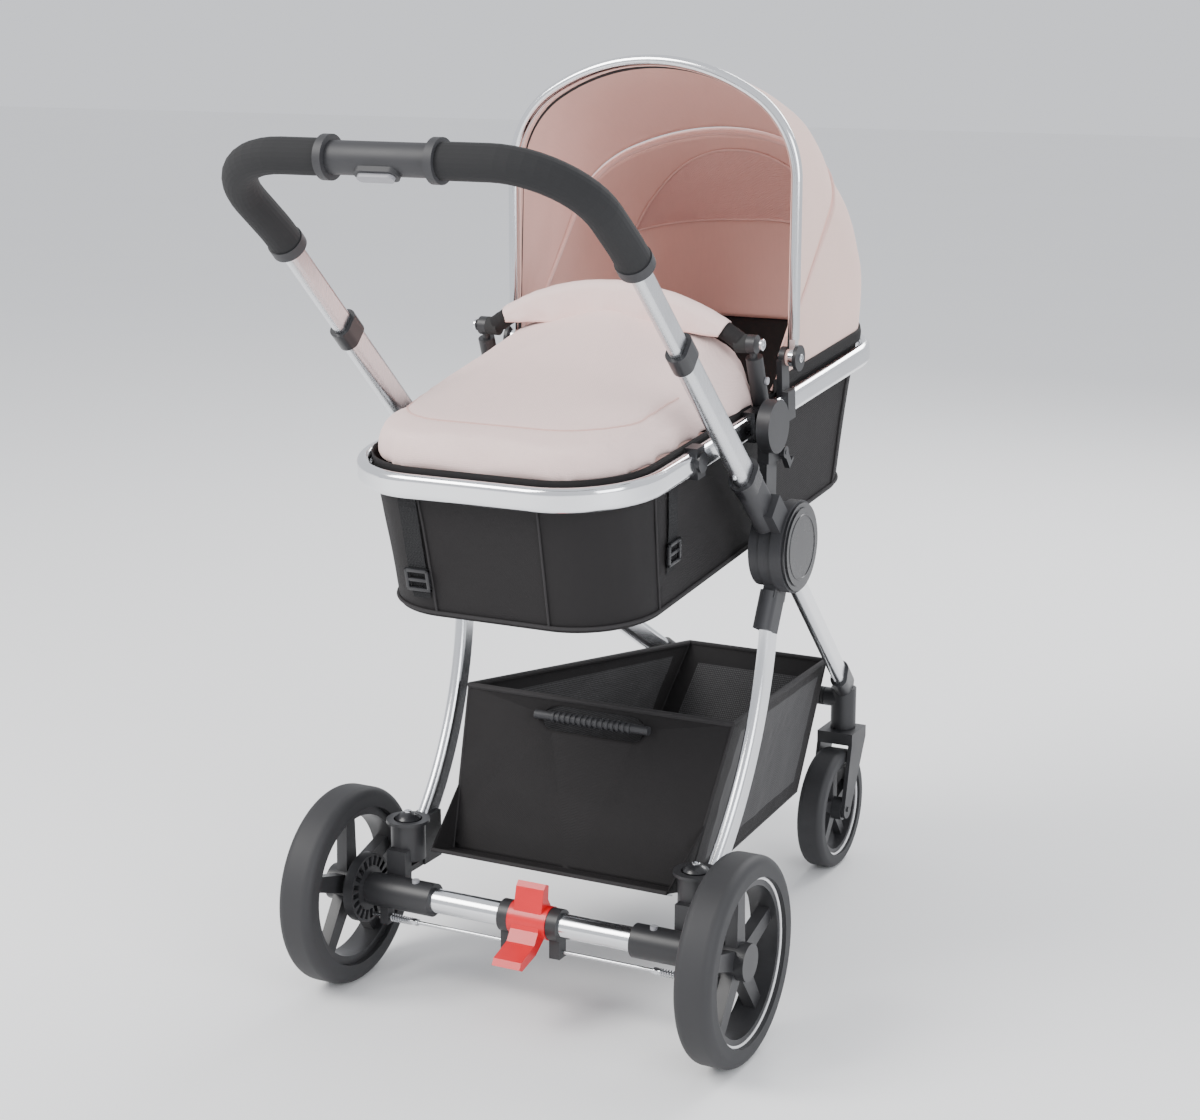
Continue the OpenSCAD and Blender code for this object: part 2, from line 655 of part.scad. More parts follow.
module seat_posts() {
    color(PLASTIC) sides() difference() {
        box([hub_in, post_y - post_w / 2, hub_z + 20], [hub_in + inner_t, post_y + post_w / 2, post_top]);
        axle(inner_r + snug, 0, rear_x, hub_y, hub_z);
        translate([hub_in + inner_t / 2, post_y, post_top - stem[2] / 2])
            cube([stem[0] + 2 * free, stem[1] + 2 * free, stem[2] + 2], center = true);
    }
}
module seat_discs() {
    color(PLASTIC) sides() {
        difference() {
            union() {
                axle(disc_r, disc_in, disc_in + disc_t, seat_y, seat_z);
                box([hub_in + 1, post_y - post_w / 2, post_top + free],
                    [disc_in + 8, post_y + post_w / 2 + 14, seat_z - 19]);
                translate([hub_in + inner_t / 2, post_y, post_top - stem[2] / 2 + 2])
                    cube(stem, center = true);
            }
            axle(seat_pin_r + running, disc_in - 1, disc_in + disc_t - 5, seat_y, seat_z);
        }
        axle(lever_pin[0], disc_in + 7, disc_in + 16, seat_y + lever_pin[1] + 9, seat_z + lever_pin[2]);
    }
}
module seat_levers() {
    color(PLASTIC) sides() translate([disc_in + 8 + free, seat_y + lever_pin[1] + 9, seat_z + lever_pin[2]])
        difference() {
            union() {
                axle(8, 0, 7);
                rotate([-50, 0, 0]) box([0, 0, -5], [7, 26, 5]);
                rotate([-50, 0, 0]) box([0, 22, -5], [7, 26, 12]);
            }
            axle(lever_pin[0] + running, -1, 8);
        }
}

// ---- Carrycot, drawn level with its seat pivot at the origin ----

module on_cot() { translate([0, seat_y, seat_z]) rotate([cot_slope, 0, 0]) children(); }

// A section swept round a closed rectangle with round corners
module closed_ring(w, l, r) {
    for (k = [0:3]) {
        side = k % 2 == 0 ? w : l;
        end = k % 2 == 0 ? l : w;
        rotate(k * 90) {
            translate([side / 2 - r, end / 2 - r, 0])
                rotate_extrude(angle = 90, $fn = 96) translate([r, 0]) children();
            translate([side / 2, 0, 0]) rotate([90, 0, 0])
                linear_extrude(end - 2 * r, center = true) children();
        }
    }
}
module ring_shape(grow = 0, hollow = 0) {
    translate([0, (ring_head + ring_foot) / 2, 0])
        closed_ring(ring_w - ring_t, ring_l - ring_t, ring_r - ring_t / 2)
            difference() {
                rotate(90) oval(ring_h + 2 * grow, ring_t + 2 * grow);
                if (hollow > 0) rotate(90) oval(ring_h - 2 * hollow, ring_t - 2 * hollow);
            }
}
module seat_ring() { color(CHROME) on_cot() ring_shape(hollow = 1.5); }

// A block on the outside of the ring at u along it
module clip(u, half) {
    box([ring_x - 5, u - half, -ring_h / 2 - 4], [ring_w / 2 + 3, u + half, ring_h / 2 + 4]);
}
module ring_cut(u) {
    translate([ring_x, u, 0]) rotate([90, 0, 0])
        linear_extrude(120, center = true) rotate(90) oval(ring_h + 2 * snug, ring_t + 2 * snug);
}
module ring_clips() {
    clamp_u = hub_y - 199 - seat_y;
    color(PLASTIC) on_cot() sides() {
        difference() {
            union() {
                clip(0, 16);
                axle(14, ring_w / 2, disc_in - free);
                axle(seat_pin_r, ring_w / 2, disc_in + disc_t - 6);
            }
            ring_cut(0);
        }
        difference() {
            union() {
                clip(clamp_u, 11);
                axle(13, ring_w / 2, ring_w / 2 + 6, clamp_u, 0);
            }
            ring_cut(clamp_u);
        }
    }
}

// A rectangle with round corners between two ends along Y
module rounded(half, foot, head, r) {
    hull() for (x = [-1, 1], y = [foot + r, head - r]) translate([x * (half - r), y]) circle(r, $fn = 48);
}
module tub(inset, floor, top) {
    hull() {
        translate([0, 0, top - 1]) linear_extrude(1)
            rounded(cot_x - inset, ring_foot + ring_t + inset + 1, ring_head - ring_t - inset - 1,
                ring_r - ring_t - inset);
        translate([0, 0, floor]) linear_extrude(1)
            rounded(cot_x - taper_side - inset, ring_foot + ring_t + taper_foot + inset,
                ring_head - ring_t - taper_head - inset, ring_r - ring_t - inset - 6);
    }
}
module carrycot_body() {
    color(BLACK_CLOTH) on_cot() difference() {
        tub(0, -cot_depth, cot_top);
        tub(cot_wall, -cot_depth + 5, cot_top + 8);
    }
}
module mattress() {
    color(PINK_CLOTH) on_cot() translate([0, 0, -cot_depth + 5 + free]) linear_extrude(34)
        rounded(cot_x - taper_side - 6, ring_foot + ring_t + taper_foot + 8,
            ring_head - ring_t - taper_head - 8, 92);
}

// The apron: a padded cover from the foot end up to an arch under the bumper bar.
// Its hem hangs inside the tub by apron_drop.
apron_head = 40;
apron_drop = 16;
apron_side = cot_x - cot_wall - taper_side * apron_drop / cot_depth - 2 * free;
apron_foot = ring_foot + ring_t + cot_wall + 1 + taper_foot * apron_drop / cot_depth + 2 * free;
apron_r = ring_r - ring_t - cot_wall;
module apron_plate(half, foot, head, w, r) {
    translate([0, 0, w]) linear_extrude(1) hull() {
        for (x = [-1, 1]) translate([x * (half - r), foot + r]) circle(r, $fn = 32);
        translate([-half, head - 1]) square([2 * half, 1]);
    }
}
module apron_arch(inset, head) {
    shoulder = 50;
    half = cot_x - 12 - inset;
    translate([0, head, 0]) rotate([90, 0, 0]) linear_extrude(1) hull() {
        for (s = [-1, 1]) translate([s * (half - shoulder), elbow[2] - 51 - inset])
            circle(shoulder, $fn = 32);
        translate([0, elbow[2] + 15 - inset]) circle(20, $fn = 32);
    }
}
module apron_form(inset, base) {
    foot = apron_foot + inset;
    head = apron_head + inset / 4;
    hull() {
        apron_plate(apron_side - inset, foot, head, base, apron_r - inset);
        apron_plate(apron_side - 13 - inset, foot + 3, head, cot_top + 24 - inset, apron_r - 10 - inset);
        apron_arch(inset, head);
    }
}
module apron() {
    color(PINK_CLOTH) on_cot() difference() {
        apron_form(0, cot_top - apron_drop);
        apron_form(8, cot_top - apron_drop - 10);
    }
}
// A strap with its buckle, hanging down a wall that leans in by taper over the carrycot's depth
module strap(length, taper) {
    start = cot_top + ring_h / 2 + 3;
    rotate([atan((taper - 1) / (cot_depth + cot_top)), 0, 0]) {
        box([-12.5, -1.5 - free, -start - length], [12.5, -free, -start]);
        box([-17, -6.5, -start - length + 12], [17, -free, -start - length + 42]);
    }
}
module straps() {
    side_u = -214;
    color(BLACK_CLOTH) on_cot() {
        sides() translate([cot_x, side_u, cot_top]) rotate(90) strap(112, taper_side);
        translate([-95, ring_foot + ring_t + 1, cot_top]) strap(135, taper_foot);
    }
}

// ---- Bumper bar ----

module bumper_posts() {
    button = bumper_base + (post_head - bumper_base) * button_lift;
    color(PLASTIC) on_cot() sides() difference() {
        union() {
            clip(bumper_base[1], 13);
            translate([0, 0, ring_h / 2 - 6]) rod([bumper_base[0], bumper_base[1], 0],
                [post_head[0], post_head[1], post_head[2] - ring_h / 2 + 6], 22);
            axle(12, elbow[0] + free, elbow[0] + 12, elbow[1], elbow[2]);
            rod([elbow[0] + 6, post_head[1], post_head[2] - 8], [elbow[0] + 6, elbow[1], elbow[2]], 10);
            axle(4, elbow[0] - 12, elbow[0] + 3, elbow[1], elbow[2]);
        }
        ring_cut(bumper_base[1]);
        axle(5 + free, button[0] + 2, button[0] + 30, button[1], button[2] + 8);
        box([0, -60, -ring_h], [cot_x + 0.6, 90, cot_top + 4]);
    }
}
module bumper_button() {
    button = bumper_base + (post_head - bumper_base) * button_lift;
    color(PLASTIC) on_cot() axle(5, button[0] + 5.5, button[0] + 13.5, button[1], button[2] + 8);
}
bumper_r = (bumper_x * bumper_x + bumper_rise * bumper_rise) / (2 * bumper_rise);
bumper_half = asin(bumper_x / bumper_r);

// Sweeps a section over the bumper bar's arch, short of each end by the angle short
module over_bumper(short) {
    translate([0, elbow[1], elbow[2] + bumper_rise - bumper_r]) rotate([90, 0, 0])
        rotate(90 - bumper_half + short) rotate_extrude(angle = 2 * (bumper_half - short), $fn = 96)
            translate([bumper_r, 0]) children();
}
module bumper_bar() {
    color(BLACK_CLOTH) on_cot() difference() {
        union() {
            over_bumper(0) circle(bumper_bar_r);
            sides() axle(12, elbow[0] - 16, elbow[0], elbow[1], elbow[2]);
        }
        sides() axle(4 + running, elbow[0] - 40, elbow[0] + 1, elbow[1], elbow[2]);
    }
}
module bumper_flap() {
    inner = bumper_bar_r + free;
    color(PINK_CLOTH) on_cot() over_bumper(5) difference() {
        union() {
            circle(inner + 3);
            translate([-9, -inner - 3]) square([9, 2 * inner + 6]);
        }
        circle(inner);
        translate([-20, -inner]) square([20, 2 * inner]);
    }
}

// ---- Hood, drawn about its pivots ----

module on_hood() { on_cot() translate([0, pivot_u, pivot_w]) children(); }
module hood_pivots() {
    color(PLASTIC) on_cot() sides() difference() {
        union() {
            clip(pivot_u - 8, 12);
            box([hood_x + free, pivot_u - 20, ring_h / 2], [hood_x + 8, pivot_u + 4, pivot_w]);
            axle(14, hood_x + free, hood_x + 8, pivot_u, pivot_w);
            axle(pivot_pin_r, hood_x + 2, bow_x + 5, pivot_u, pivot_w);
            axle(17, bow_x + 4, bow_x + 9, pivot_u, pivot_w);
        }
        ring_cut(pivot_u - 8);
    }
}

// An arch has straight sides, round shoulders and a flatter crown
shoulder_a = 58;
crown_a = 90 - shoulder_a;
function shoulder_r(half) = half * 0.61;
function crown_r(half) = (half - shoulder_r(half) * (1 - cos(shoulder_a))) / sin(crown_a);
function straight(half, height) = height - shoulder_r(half) * sin(shoulder_a)
    - crown_r(half) * (1 - cos(crown_a));
// The right half of an arch's outline, moved in by inset
function half_arch(half, height, inset) = concat([[half - inset, 0]],
    [for (k = [0:6]) let (a = k * shoulder_a / 6, r = shoulder_r(half))
        [half - r + (r - inset) * cos(a), straight(half, height) + (r - inset) * sin(a)]],
    [for (k = [1:3]) let (a = crown_a * (1 - k / 4), r = crown_r(half))
        [(r - inset) * sin(a), height - r + (r - inset) * cos(a)]]);

// A section swept along an arch about the pivots, from start up each side
module arch_run(angle, half, height, start) {
    rotate([angle - 90, 0, 0]) sides() translate([half, 0, start])
        run([[straight(half, height) - start], [shoulder_r(half), shoulder_a, 90],
            [crown_r(half), crown_a, 90]]) children();
}
module hood_bow() {
    color(CHROME) on_hood() {
        arch_run(bow_a, bow_x, bow_h - bow_d / 2, 24) circle(d = bow_d);
        sides() difference() {
            union() {
                axle(12, bow_x - 4, bow_x + 3.7, 0, 0);
                rotate([bow_a - 90, 0, 0]) box([bow_x - 4, -6, 0], [bow_x + 3.7, 6, 26]);
            }
            axle(pivot_pin_r + running, bow_x - 5, bow_x + 5);
        }
    }
}
module hood_rib() {
    eye_in = hood_x + 8 + free;
    color(PLASTIC) on_hood() {
        arch_run(rib_a, hood_x - 2, hood_top - 2, 34) circle(d = rib_d);
        sides() difference() {
            union() {
                axle(11, eye_in, bow_x - 4 - free);
                rotate([rib_a - 90, 0, 0]) {
                    box([eye_in, -4, 0], [bow_x - 4 - free, 4, 38]);
                    box([hood_x - 4, -rib_d / 2, 30], [bow_x - 4 - free, rib_d / 2, 38]);
                }
            }
            axle(pivot_pin_r + running, eye_in - 1, bow_x);
        }
    }
}
module arch_plate(angle, half, height, inset) {
    side = half_arch(half, height, inset);
    rotate([angle - 90, 0, 0]) translate([0, 0.5, 0]) rotate([90, 0, 0]) linear_extrude(1)
        polygon(concat(side, [[0, height - inset]], [for (k = [len(side) - 1:-1:0]) [-side[k][0], side[k][1]]]));
}
module hood_base(inset, w) {
    translate([0, -pivot_u, w - pivot_w]) linear_extrude(1)
        rounded(cot_x - inset, pivot_u - 50 - inset * 8, ring_head - ring_t - 4 - inset, ring_r - ring_t - 2);
}
module front_form(inset) {
    hull() {
        arch_plate(bow_a + inset, bow_x, bow_h - bow_d / 2, bow_d / 2 + free + inset);
        arch_plate(rib_a + 4 - inset, hood_x, hood_top, 2 + inset);
    }
}
module back_form(inset) {
    hull() {
        arch_plate(rib_a - 4 + inset, hood_x, hood_top, 2 + inset);
        arch_plate(rib_a - 30, hood_x - 2, hood_top - 8, inset);
        hood_base(inset, cot_top + free - inset * 2);
    }
}
module pivot_room() { sides() axle(pivot_notch, hood_x - 20, bow_x + 20); }
module hood_front_panel() {
    color(HOOD_CLOTH) on_hood() difference() {
        front_form(0);
        front_form(panel_t);
        pivot_room();
    }
}
module hood_back_panel() {
    color(HOOD_CLOTH) on_hood() difference() {
        back_form(0);
        back_form(panel_t);
        pivot_room();
    }
}

// ---- Shopping basket ----

// Corners on the right: [floor, rim] at the rear and at the front
basket_rear = [[cup_x - 38, 92, rear_r + 38], [ring_x + 1, hub_y - 68, rear_r + 238]];
basket_front = [[castor_x - 8, wheelbase - 164, rear_r + 18], [castor_x - 24, wheelbase - 17, rear_r + 177]];
basket_lip = [cup_x - 38, 36, rear_r + 54];
basket_t = 3;
module bead(p) { translate(p) sphere(basket_t / 2, $fn = 16); }

// The basket's outer form, or the space inside it with a rim that reaches up by over
module basket_form(inset, over) {
    hull() for (s = [-1, 1], edge = [basket_rear, basket_front]) {
        move = [-inset, edge == basket_rear ? inset : -inset, 0];
        low = edge[0] + move + [0, 0, inset];
        high = edge[0] + (edge[1] - edge[0]) * (1 + over) + move;
        for (p = [low, high]) bead([s * p[0], p[1], p[2]]);
    }
}
// Where the middle of a rear leg is at a height
function leg_share(z) = let (a = rear_top + rear_dir * leg_gap) (a[2] - z) / (a[2] - rear_foot[2]);
function leg_at(z) = let (a = rear_top + rear_dir * leg_gap, t = leg_share(z))
    a + (rear_foot - a) * t + [0, rear_bulge * 0.9, 0] * 4 * t * (1 - t);
module basket() {
    sleeve = castor_x - 27 - 24 - 3 * free;
    tab_z = basket_rear[1][2] - 16;
    leg = leg_at(tab_z);
    color(BLACK_CLOTH) difference() {
        union() {
            difference() {
                basket_form(0, 0);
                basket_form(basket_t, 0.1);
            }
            hull() for (s = [-1, 1]) {
                bead([s * basket_lip[0], basket_lip[1], basket_lip[2]]);
                bead([s * basket_rear[0][0], basket_rear[0][1], basket_rear[0][2]]);
            }
            sides() hull() {
                bead(basket_lip);
                bead(basket_rear[0]);
                bead(basket_rear[0] + (basket_rear[1] - basket_rear[0]) * 0.4);
            }
            sides() box([basket_rear[1][0] - 8, leg[1] - 8, tab_z - 7],
                [leg[0] - leg_t / 2 - 2 * free, leg[1] + 8, tab_z + 7]);
            axle(11.5, -sleeve, sleeve, wheelbase - 4, castor_top + 46);
            box([-sleeve, wheelbase - 22, castor_top + 52], [sleeve, wheelbase - 12, basket_front[1][2]]);
        }
        axle(9 + free, -castor_x, castor_x, wheelbase - 4, castor_top + 46);
        translate([0, basket_rear[1][1], basket_rear[1][2] - 24]) rotate([90, 0, 0])
            linear_extrude(120, center = true) oval(150, 30);
    }
}
module basket_grab_bar() {
    slope = (basket_rear[1][1] - basket_rear[0][1]) / (basket_rear[1][2] - basket_rear[0][2]);
    color(PLASTIC) translate([0, basket_rear[1][1] - 20 * slope - 9, basket_rear[1][2] - 20]) {
        axle(6, -84, 84);
        for (k = [-7:7]) axle(7.5, k * 8 - 2, k * 8 + 2);
    }
}

placed() front_legs();
placed() castor_housings();
placed() front_cross_bar();
placed() cross_bar_bushes();
placed() hub_inner_housings();
placed() seat_posts();
placed() basket();
placed() basket_grab_bar();
placed() rear_leg_tubes();
placed() rear_leg_hubs();
placed() leg_shoes();
placed() spring_domes();
placed() axle_tube();
placed() axle_housings();
placed() pedal_brackets();
placed() stub_axles();
placed() axle_springs();
placed() brake_pedal();
placed() left() brake_rod();  // brake_rod_left
placed() brake_rod();  // brake_rod_right
placed() wheel_release_buttons();
placed() left() rear_rim();  // rear_rim_left
placed() rear_rim();  // rear_rim_right
placed() left() rear_tyre();  // rear_tyre_left
placed() rear_tyre();  // rear_tyre_right
placed() left() castor_fork();  // castor_fork_left
placed() castor_fork();  // castor_fork_right
placed() left() front_rim();  // front_rim_left
placed() front_rim();  // front_rim_right
placed() left() front_tyre();  // front_tyre_left
placed() front_tyre();  // front_tyre_right
placed() push_tubes();
placed() arm_hubs();
placed() hub_caps();
placed() telescope_collars();
placed() snap_buttons();
placed() fold_collars();
placed() handle_tube();
placed() handle_foam();
placed() foam_collars();
placed() handle_grip();
placed() handle_button();
placed() seat_discs();
placed() seat_levers();
placed() seat_ring();
placed() ring_clips();
placed() carrycot_body();
placed() mattress();
placed() apron();
placed() straps();
placed() bumper_posts();
placed() left() bumper_button();  // bumper_button_left
placed() bumper_button();  // bumper_button_right
placed() bumper_bar();
placed() bumper_flap();
placed() hood_pivots();
placed() hood_rib();
placed() hood_bow();
placed() hood_back_panel();
placed() hood_front_panel();
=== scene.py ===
import json
import math
import bmesh
import bpy
from mathutils import Matrix, Vector, kdtree, noise
from mathutils.bvhtree import BVHTree


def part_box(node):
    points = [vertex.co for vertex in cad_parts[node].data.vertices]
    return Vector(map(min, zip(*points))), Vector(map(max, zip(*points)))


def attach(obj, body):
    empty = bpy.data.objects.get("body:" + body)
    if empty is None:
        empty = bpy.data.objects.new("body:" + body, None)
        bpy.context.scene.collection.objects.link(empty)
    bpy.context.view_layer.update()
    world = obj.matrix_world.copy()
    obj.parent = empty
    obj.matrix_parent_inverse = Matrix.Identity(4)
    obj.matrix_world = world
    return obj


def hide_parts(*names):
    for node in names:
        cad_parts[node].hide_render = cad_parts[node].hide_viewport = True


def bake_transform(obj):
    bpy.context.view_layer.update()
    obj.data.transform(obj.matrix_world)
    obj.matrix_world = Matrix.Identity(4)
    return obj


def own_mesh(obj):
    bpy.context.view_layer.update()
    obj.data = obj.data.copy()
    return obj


print("pram: loading the frame")
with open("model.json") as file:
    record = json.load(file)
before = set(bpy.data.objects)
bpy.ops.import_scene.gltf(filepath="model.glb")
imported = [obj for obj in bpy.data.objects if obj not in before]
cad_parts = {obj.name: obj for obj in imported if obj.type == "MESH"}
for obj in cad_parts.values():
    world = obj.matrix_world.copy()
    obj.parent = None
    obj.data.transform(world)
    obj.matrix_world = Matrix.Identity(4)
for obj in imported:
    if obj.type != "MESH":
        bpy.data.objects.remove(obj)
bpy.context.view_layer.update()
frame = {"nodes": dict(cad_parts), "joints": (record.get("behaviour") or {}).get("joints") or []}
nodes = frame["nodes"]
joints = {j["name"]: j for j in frame["joints"]}
rad = math.radians

# Places that come from the frame

seatPivot = Vector(joints["carrycot_recline"]["pos_m"])
rearAxle = Vector(joints["brake_pedal_tilt"]["pos_m"])
foldPivot = Vector(joints["handle_fold"]["pos_m"])
armDirection = Vector(joints["handle_extend"]["axis"]).normalized()
cotSlope = rad(5.5)
cotMatrix = Matrix.Translation(seatPivot) @ Matrix.Rotation(cotSlope, 4, "X") @ Matrix.Scale(0.001, 4)
axleMatrix = Matrix.Translation((0, rearAxle.y, 0)) @ Matrix.Scale(0.001, 4)
armTilt = math.atan2(armDirection.z, -armDirection.y)


def onCot(x, u, w):
    # millimetres across, along and above the carrycot's ring, from its pivot
    return cotMatrix @ Vector((x, u, w))


def fromAxle(x, y, z):
    # millimetres across, ahead of the rear axle and above the floor
    return axleMatrix @ Vector((x, y, z))


def mix(a, b, t):
    return a + (b - a) * t


def ease(t):
    t = min(1, max(0, t))
    return t * t * (3 - 2 * t)


def wobble(x, y, z=0.0):
    return noise.noise(Vector((x, y, z)))


# Materials

def startMaterial(name, colour, roughness, metallic=0.0, **more):
    mat = bpy.data.materials.new(name)
    mat.use_nodes = True
    mat.diffuse_color = (*colour, 1)
    shader = mat.node_tree.nodes["Principled BSDF"]
    shader.inputs["Base Color"].default_value = (*colour, 1)
    shader.inputs["Roughness"].default_value = roughness
    shader.inputs["Metallic"].default_value = metallic
    for key, value in more.items():
        shader.inputs[key].default_value = value
    return mat, mat.node_tree, shader


def addNode(tree, kind, inputs=None, **settings):
    node = tree.nodes.new("ShaderNode" + kind)
    for key, value in settings.items():
        setattr(node, key, value)
    for key, value in (inputs or {}).items():
        if isinstance(value, bpy.types.NodeSocket):
            tree.links.new(value, node.inputs[key])
        else:
            node.inputs[key].default_value = value
    return node


def math2(tree, operation, a, b):
    return addNode(tree, "Math", {0: a, 1: b}, operation=operation).outputs[0]


def coordinates(tree, source="Object", scale=(1, 1, 1), turn=(0, 0, 0)):
    place = addNode(tree, "TexCoord")
    mapping = addNode(tree, "Mapping", {"Vector": place.outputs[source]})
    mapping.inputs["Scale"].default_value = scale
    mapping.inputs["Rotation"].default_value = turn
    return mapping.outputs[0]


def noiseAt(tree, where, scale, detail=3.0, rough=0.5):
    inputs = {"Vector": where, "Scale": scale, "Detail": detail, "Roughness": rough}
    return addNode(tree, "TexNoise", inputs).outputs["Fac"]


def remap(tree, value, low, high):
    node = addNode(tree, "MapRange", {"Value": value})
    node.inputs["To Min"].default_value = low
    node.inputs["To Max"].default_value = high
    return node.outputs[0]


def shadeBetween(tree, shader, factor, dark, light):
    node = addNode(tree, "Mix", data_type="RGBA")
    tree.links.new(factor, node.inputs[0])
    node.inputs[6].default_value = (*dark, 1)
    node.inputs[7].default_value = (*light, 1)
    tree.links.new(node.outputs[2], shader.inputs["Base Color"])
    return node.outputs[2]


def addBump(tree, shader, height, strength, distance, under=None):
    node = addNode(tree, "Bump", {"Height": height, "Strength": strength, "Distance": distance})
    if under is not None:
        tree.links.new(under, node.inputs["Normal"])
    tree.links.new(node.outputs[0], shader.inputs["Normal"])
    return node.outputs[0]


def scaled(colour, k):
    return tuple(min(1, c * k) for c in colour)


def makeMetal(name, colour, roughness, grain=0.0, turn=(0, 0, 0)):
    # plated or brushed tube: long faint draw marks and a little smudging
    mat, tree, shader = startMaterial(name, colour, roughness, 1.0)
    streaks = noiseAt(tree, coordinates(tree, scale=(900, 900, 9), turn=turn), 1.0, 2.0)
    smudge = noiseAt(tree, coordinates(tree), 14.0, 4.0)
    amount = math2(tree, "ADD", math2(tree, "MULTIPLY", streaks, grain), math2(tree, "MULTIPLY", smudge, 0.08))
    tree.links.new(math2(tree, "ADD", amount, max(0.02, roughness - grain / 2 - 0.03)), shader.inputs["Roughness"])
    shadeBetween(tree, shader, smudge, scaled(colour, 0.94), scaled(colour, 1.04))
    addBump(tree, shader, streaks, 0.15 + grain, 0.00002)
    return mat


def makeMoulding(name, colour, roughness, grain=0.00006, size=1500.0, coat=0.0):
    # moulded plastic or rubber with a fine spark texture
    mat, tree, shader = startMaterial(name, colour, roughness, 0.0)
    shader.inputs["Coat Weight"].default_value = coat
    where = coordinates(tree)
    patches = noiseAt(tree, where, 22.0, 3.0)
    spark = noiseAt(tree, where, size, 2.0)
    tree.links.new(remap(tree, patches, max(0.05, roughness - 0.07), roughness + 0.07), shader.inputs["Roughness"])
    shadeBetween(tree, shader, patches, scaled(colour, 0.82), scaled(colour, 1.2))
    addBump(tree, shader, spark, 0.35, grain)
    return mat


def makeCloth(name, colour, source="UV", pitch=0.0011, depth=0.00022,
              sheen=0.35, crumple=0.0012, shade=0.1, rough=0.82):
    # plain weave: two sets of threads that pass over each other, with slubs and soft creases
    mat, tree, shader = startMaterial(name, colour, rough)
    shader.inputs["Sheen Weight"].default_value = sheen
    shader.inputs["Sheen Roughness"].default_value = 0.45
    shader.inputs["Sheen Tint"].default_value = (*scaled(colour, 1.25), 1)
    shader.inputs["Specular IOR Level"].default_value = 0.25
    threads = coordinates(tree, source, scale=(1 / pitch,) * 3)
    split = addNode(tree, "SeparateXYZ", {0: threads})
    across = math2(tree, "SINE", math2(tree, "MULTIPLY", split.outputs[0], math.tau / 2), 0.0)
    along = math2(tree, "SINE", math2(tree, "MULTIPLY", split.outputs[1], math.tau / 2), 0.0)
    weave = math2(tree, "ABSOLUTE", math2(tree, "ADD", across, along), 0.0)
    if source == "Object":
        third = math2(tree, "SINE", math2(tree, "MULTIPLY", split.outputs[2], math.tau / 2), 0.0)
        weave = math2(tree, "ABSOLUTE", math2(tree, "ADD", math2(tree, "ADD", across, along), third), 0.0)
    body = coordinates(tree, "Object")
    cloud = noiseAt(tree, body, 9.0, 4.0)
    slub = noiseAt(tree, coordinates(tree, source, scale=(260, 30, 260)), 1.0, 2.0)
    tone = math2(tree, "ADD", math2(tree, "MULTIPLY", cloud, 0.55), math2(tree, "MULTIPLY", slub, 0.3))
    tone = math2(tree, "ADD", tone, math2(tree, "MULTIPLY", weave, 0.12))
    shadeBetween(tree, shader, tone, scaled(colour, 1 - shade), scaled(colour, 1 + shade * 0.7))
    creases = noiseAt(tree, body, 17.0, 5.0, 0.55)
    soft = addBump(tree, shader, creases, 0.5, crumple)
    addBump(tree, shader, weave, 0.6, depth, under=soft)
    return mat


def makeMesh(name, colour, light):
    # open net: rows of small holes through which a paler layer shows
    mat, tree, shader = startMaterial(name, colour, 0.7)
    cells = addNode(tree, "TexVoronoi", {"Vector": coordinates(tree, "UV"), "Scale": 330.0, "Randomness": 0.12})
    holes = addNode(tree, "MapRange", {"Value": cells.outputs["Distance"]})
    holes.inputs["From Min"].default_value = 0.28
    holes.inputs["From Max"].default_value = 0.42
    shadeBetween(tree, shader, holes.outputs[0], light, colour)
    addBump(tree, shader, holes.outputs[0], 0.7, 0.0005)
    return mat


print("pram: materials")
palette = {
    "pink": (0.93, 0.71, 0.67),
    "hoodOutside": (0.93, 0.67, 0.60),
    # hood lining: the same cloth as the outside, coloured darker and deeper pink as painted shade for the inside of
    # the hood
    "hoodInsidePaintedShade": (0.93, 0.60, 0.53),
    "black": (0.016, 0.0145, 0.0150),
    "moulding": (0.022, 0.022, 0.024),
    "aluminium": (0.74, 0.75, 0.77),
    "red": (0.66, 0.006, 0.014),
}
chrome = makeMetal("chromePlate", (0.83, 0.84, 0.86), 0.13, 0.03)
legMetal = makeMetal("polishedLegs", palette["aluminium"], 0.20, 0.10, (rad(-35), 0, 0))
armMetal = makeMetal("brushedArms", palette["aluminium"], 0.27, 0.16, (armTilt - math.pi / 2, 0, 0))
axleMetal = makeMetal("axlePlate", (0.78, 0.79, 0.81), 0.16, 0.06, (0, math.pi / 2, 0))
brightSteel = makeMetal("brightSteel", (0.66, 0.67, 0.69), 0.24, 0.05)
blackMoulding = makeMoulding("blackMoulding", palette["moulding"], 0.42)
glossMoulding = makeMoulding("glossMoulding", (0.016, 0.016, 0.018), 0.28, 0.00003)
matteMoulding = makeMoulding("matteMoulding", (0.030, 0.030, 0.033), 0.55, 0.0001, 1100.0)
greyButton = makeMoulding("greyButton", (0.30, 0.30, 0.32), 0.4)
bushRubber = makeMoulding("bushRubber", (0.022, 0.022, 0.023), 0.68, 0.0001, 700.0)
tyreRubber = makeMoulding("tyreRubber", (0.024, 0.024, 0.026), 0.62, 0.00012, 420.0)
rimMoulding = makeMoulding("rimMoulding", (0.028, 0.028, 0.030), 0.38)
foamSkin = makeMoulding("foamSkin", (0.014, 0.014, 0.015), 0.88, 0.0003, 620.0)
redMoulding = makeMoulding("redMoulding", palette["red"], 0.33, 0.00004, 900.0, 0.15)
whiteLine = makeMoulding("whiteLine", (0.82, 0.82, 0.83), 0.4)
pinkCloth = makeCloth("pinkCloth", palette["pink"], sheen=0.3)
pinkPad = makeCloth("pinkPad", palette["pink"], "Object", crumple=0.0016, sheen=0.3)
hoodOutside = makeCloth("hoodOutside", palette["hoodOutside"], sheen=0.3, crumple=0.0008)
# the lining cloth in the darker colour of the hood's inside, which is painted shade
hoodInsidePaintedShade = makeCloth("hoodInsidePaintedShade", palette["hoodInsidePaintedShade"], sheen=0.2, crumple=0.0010)
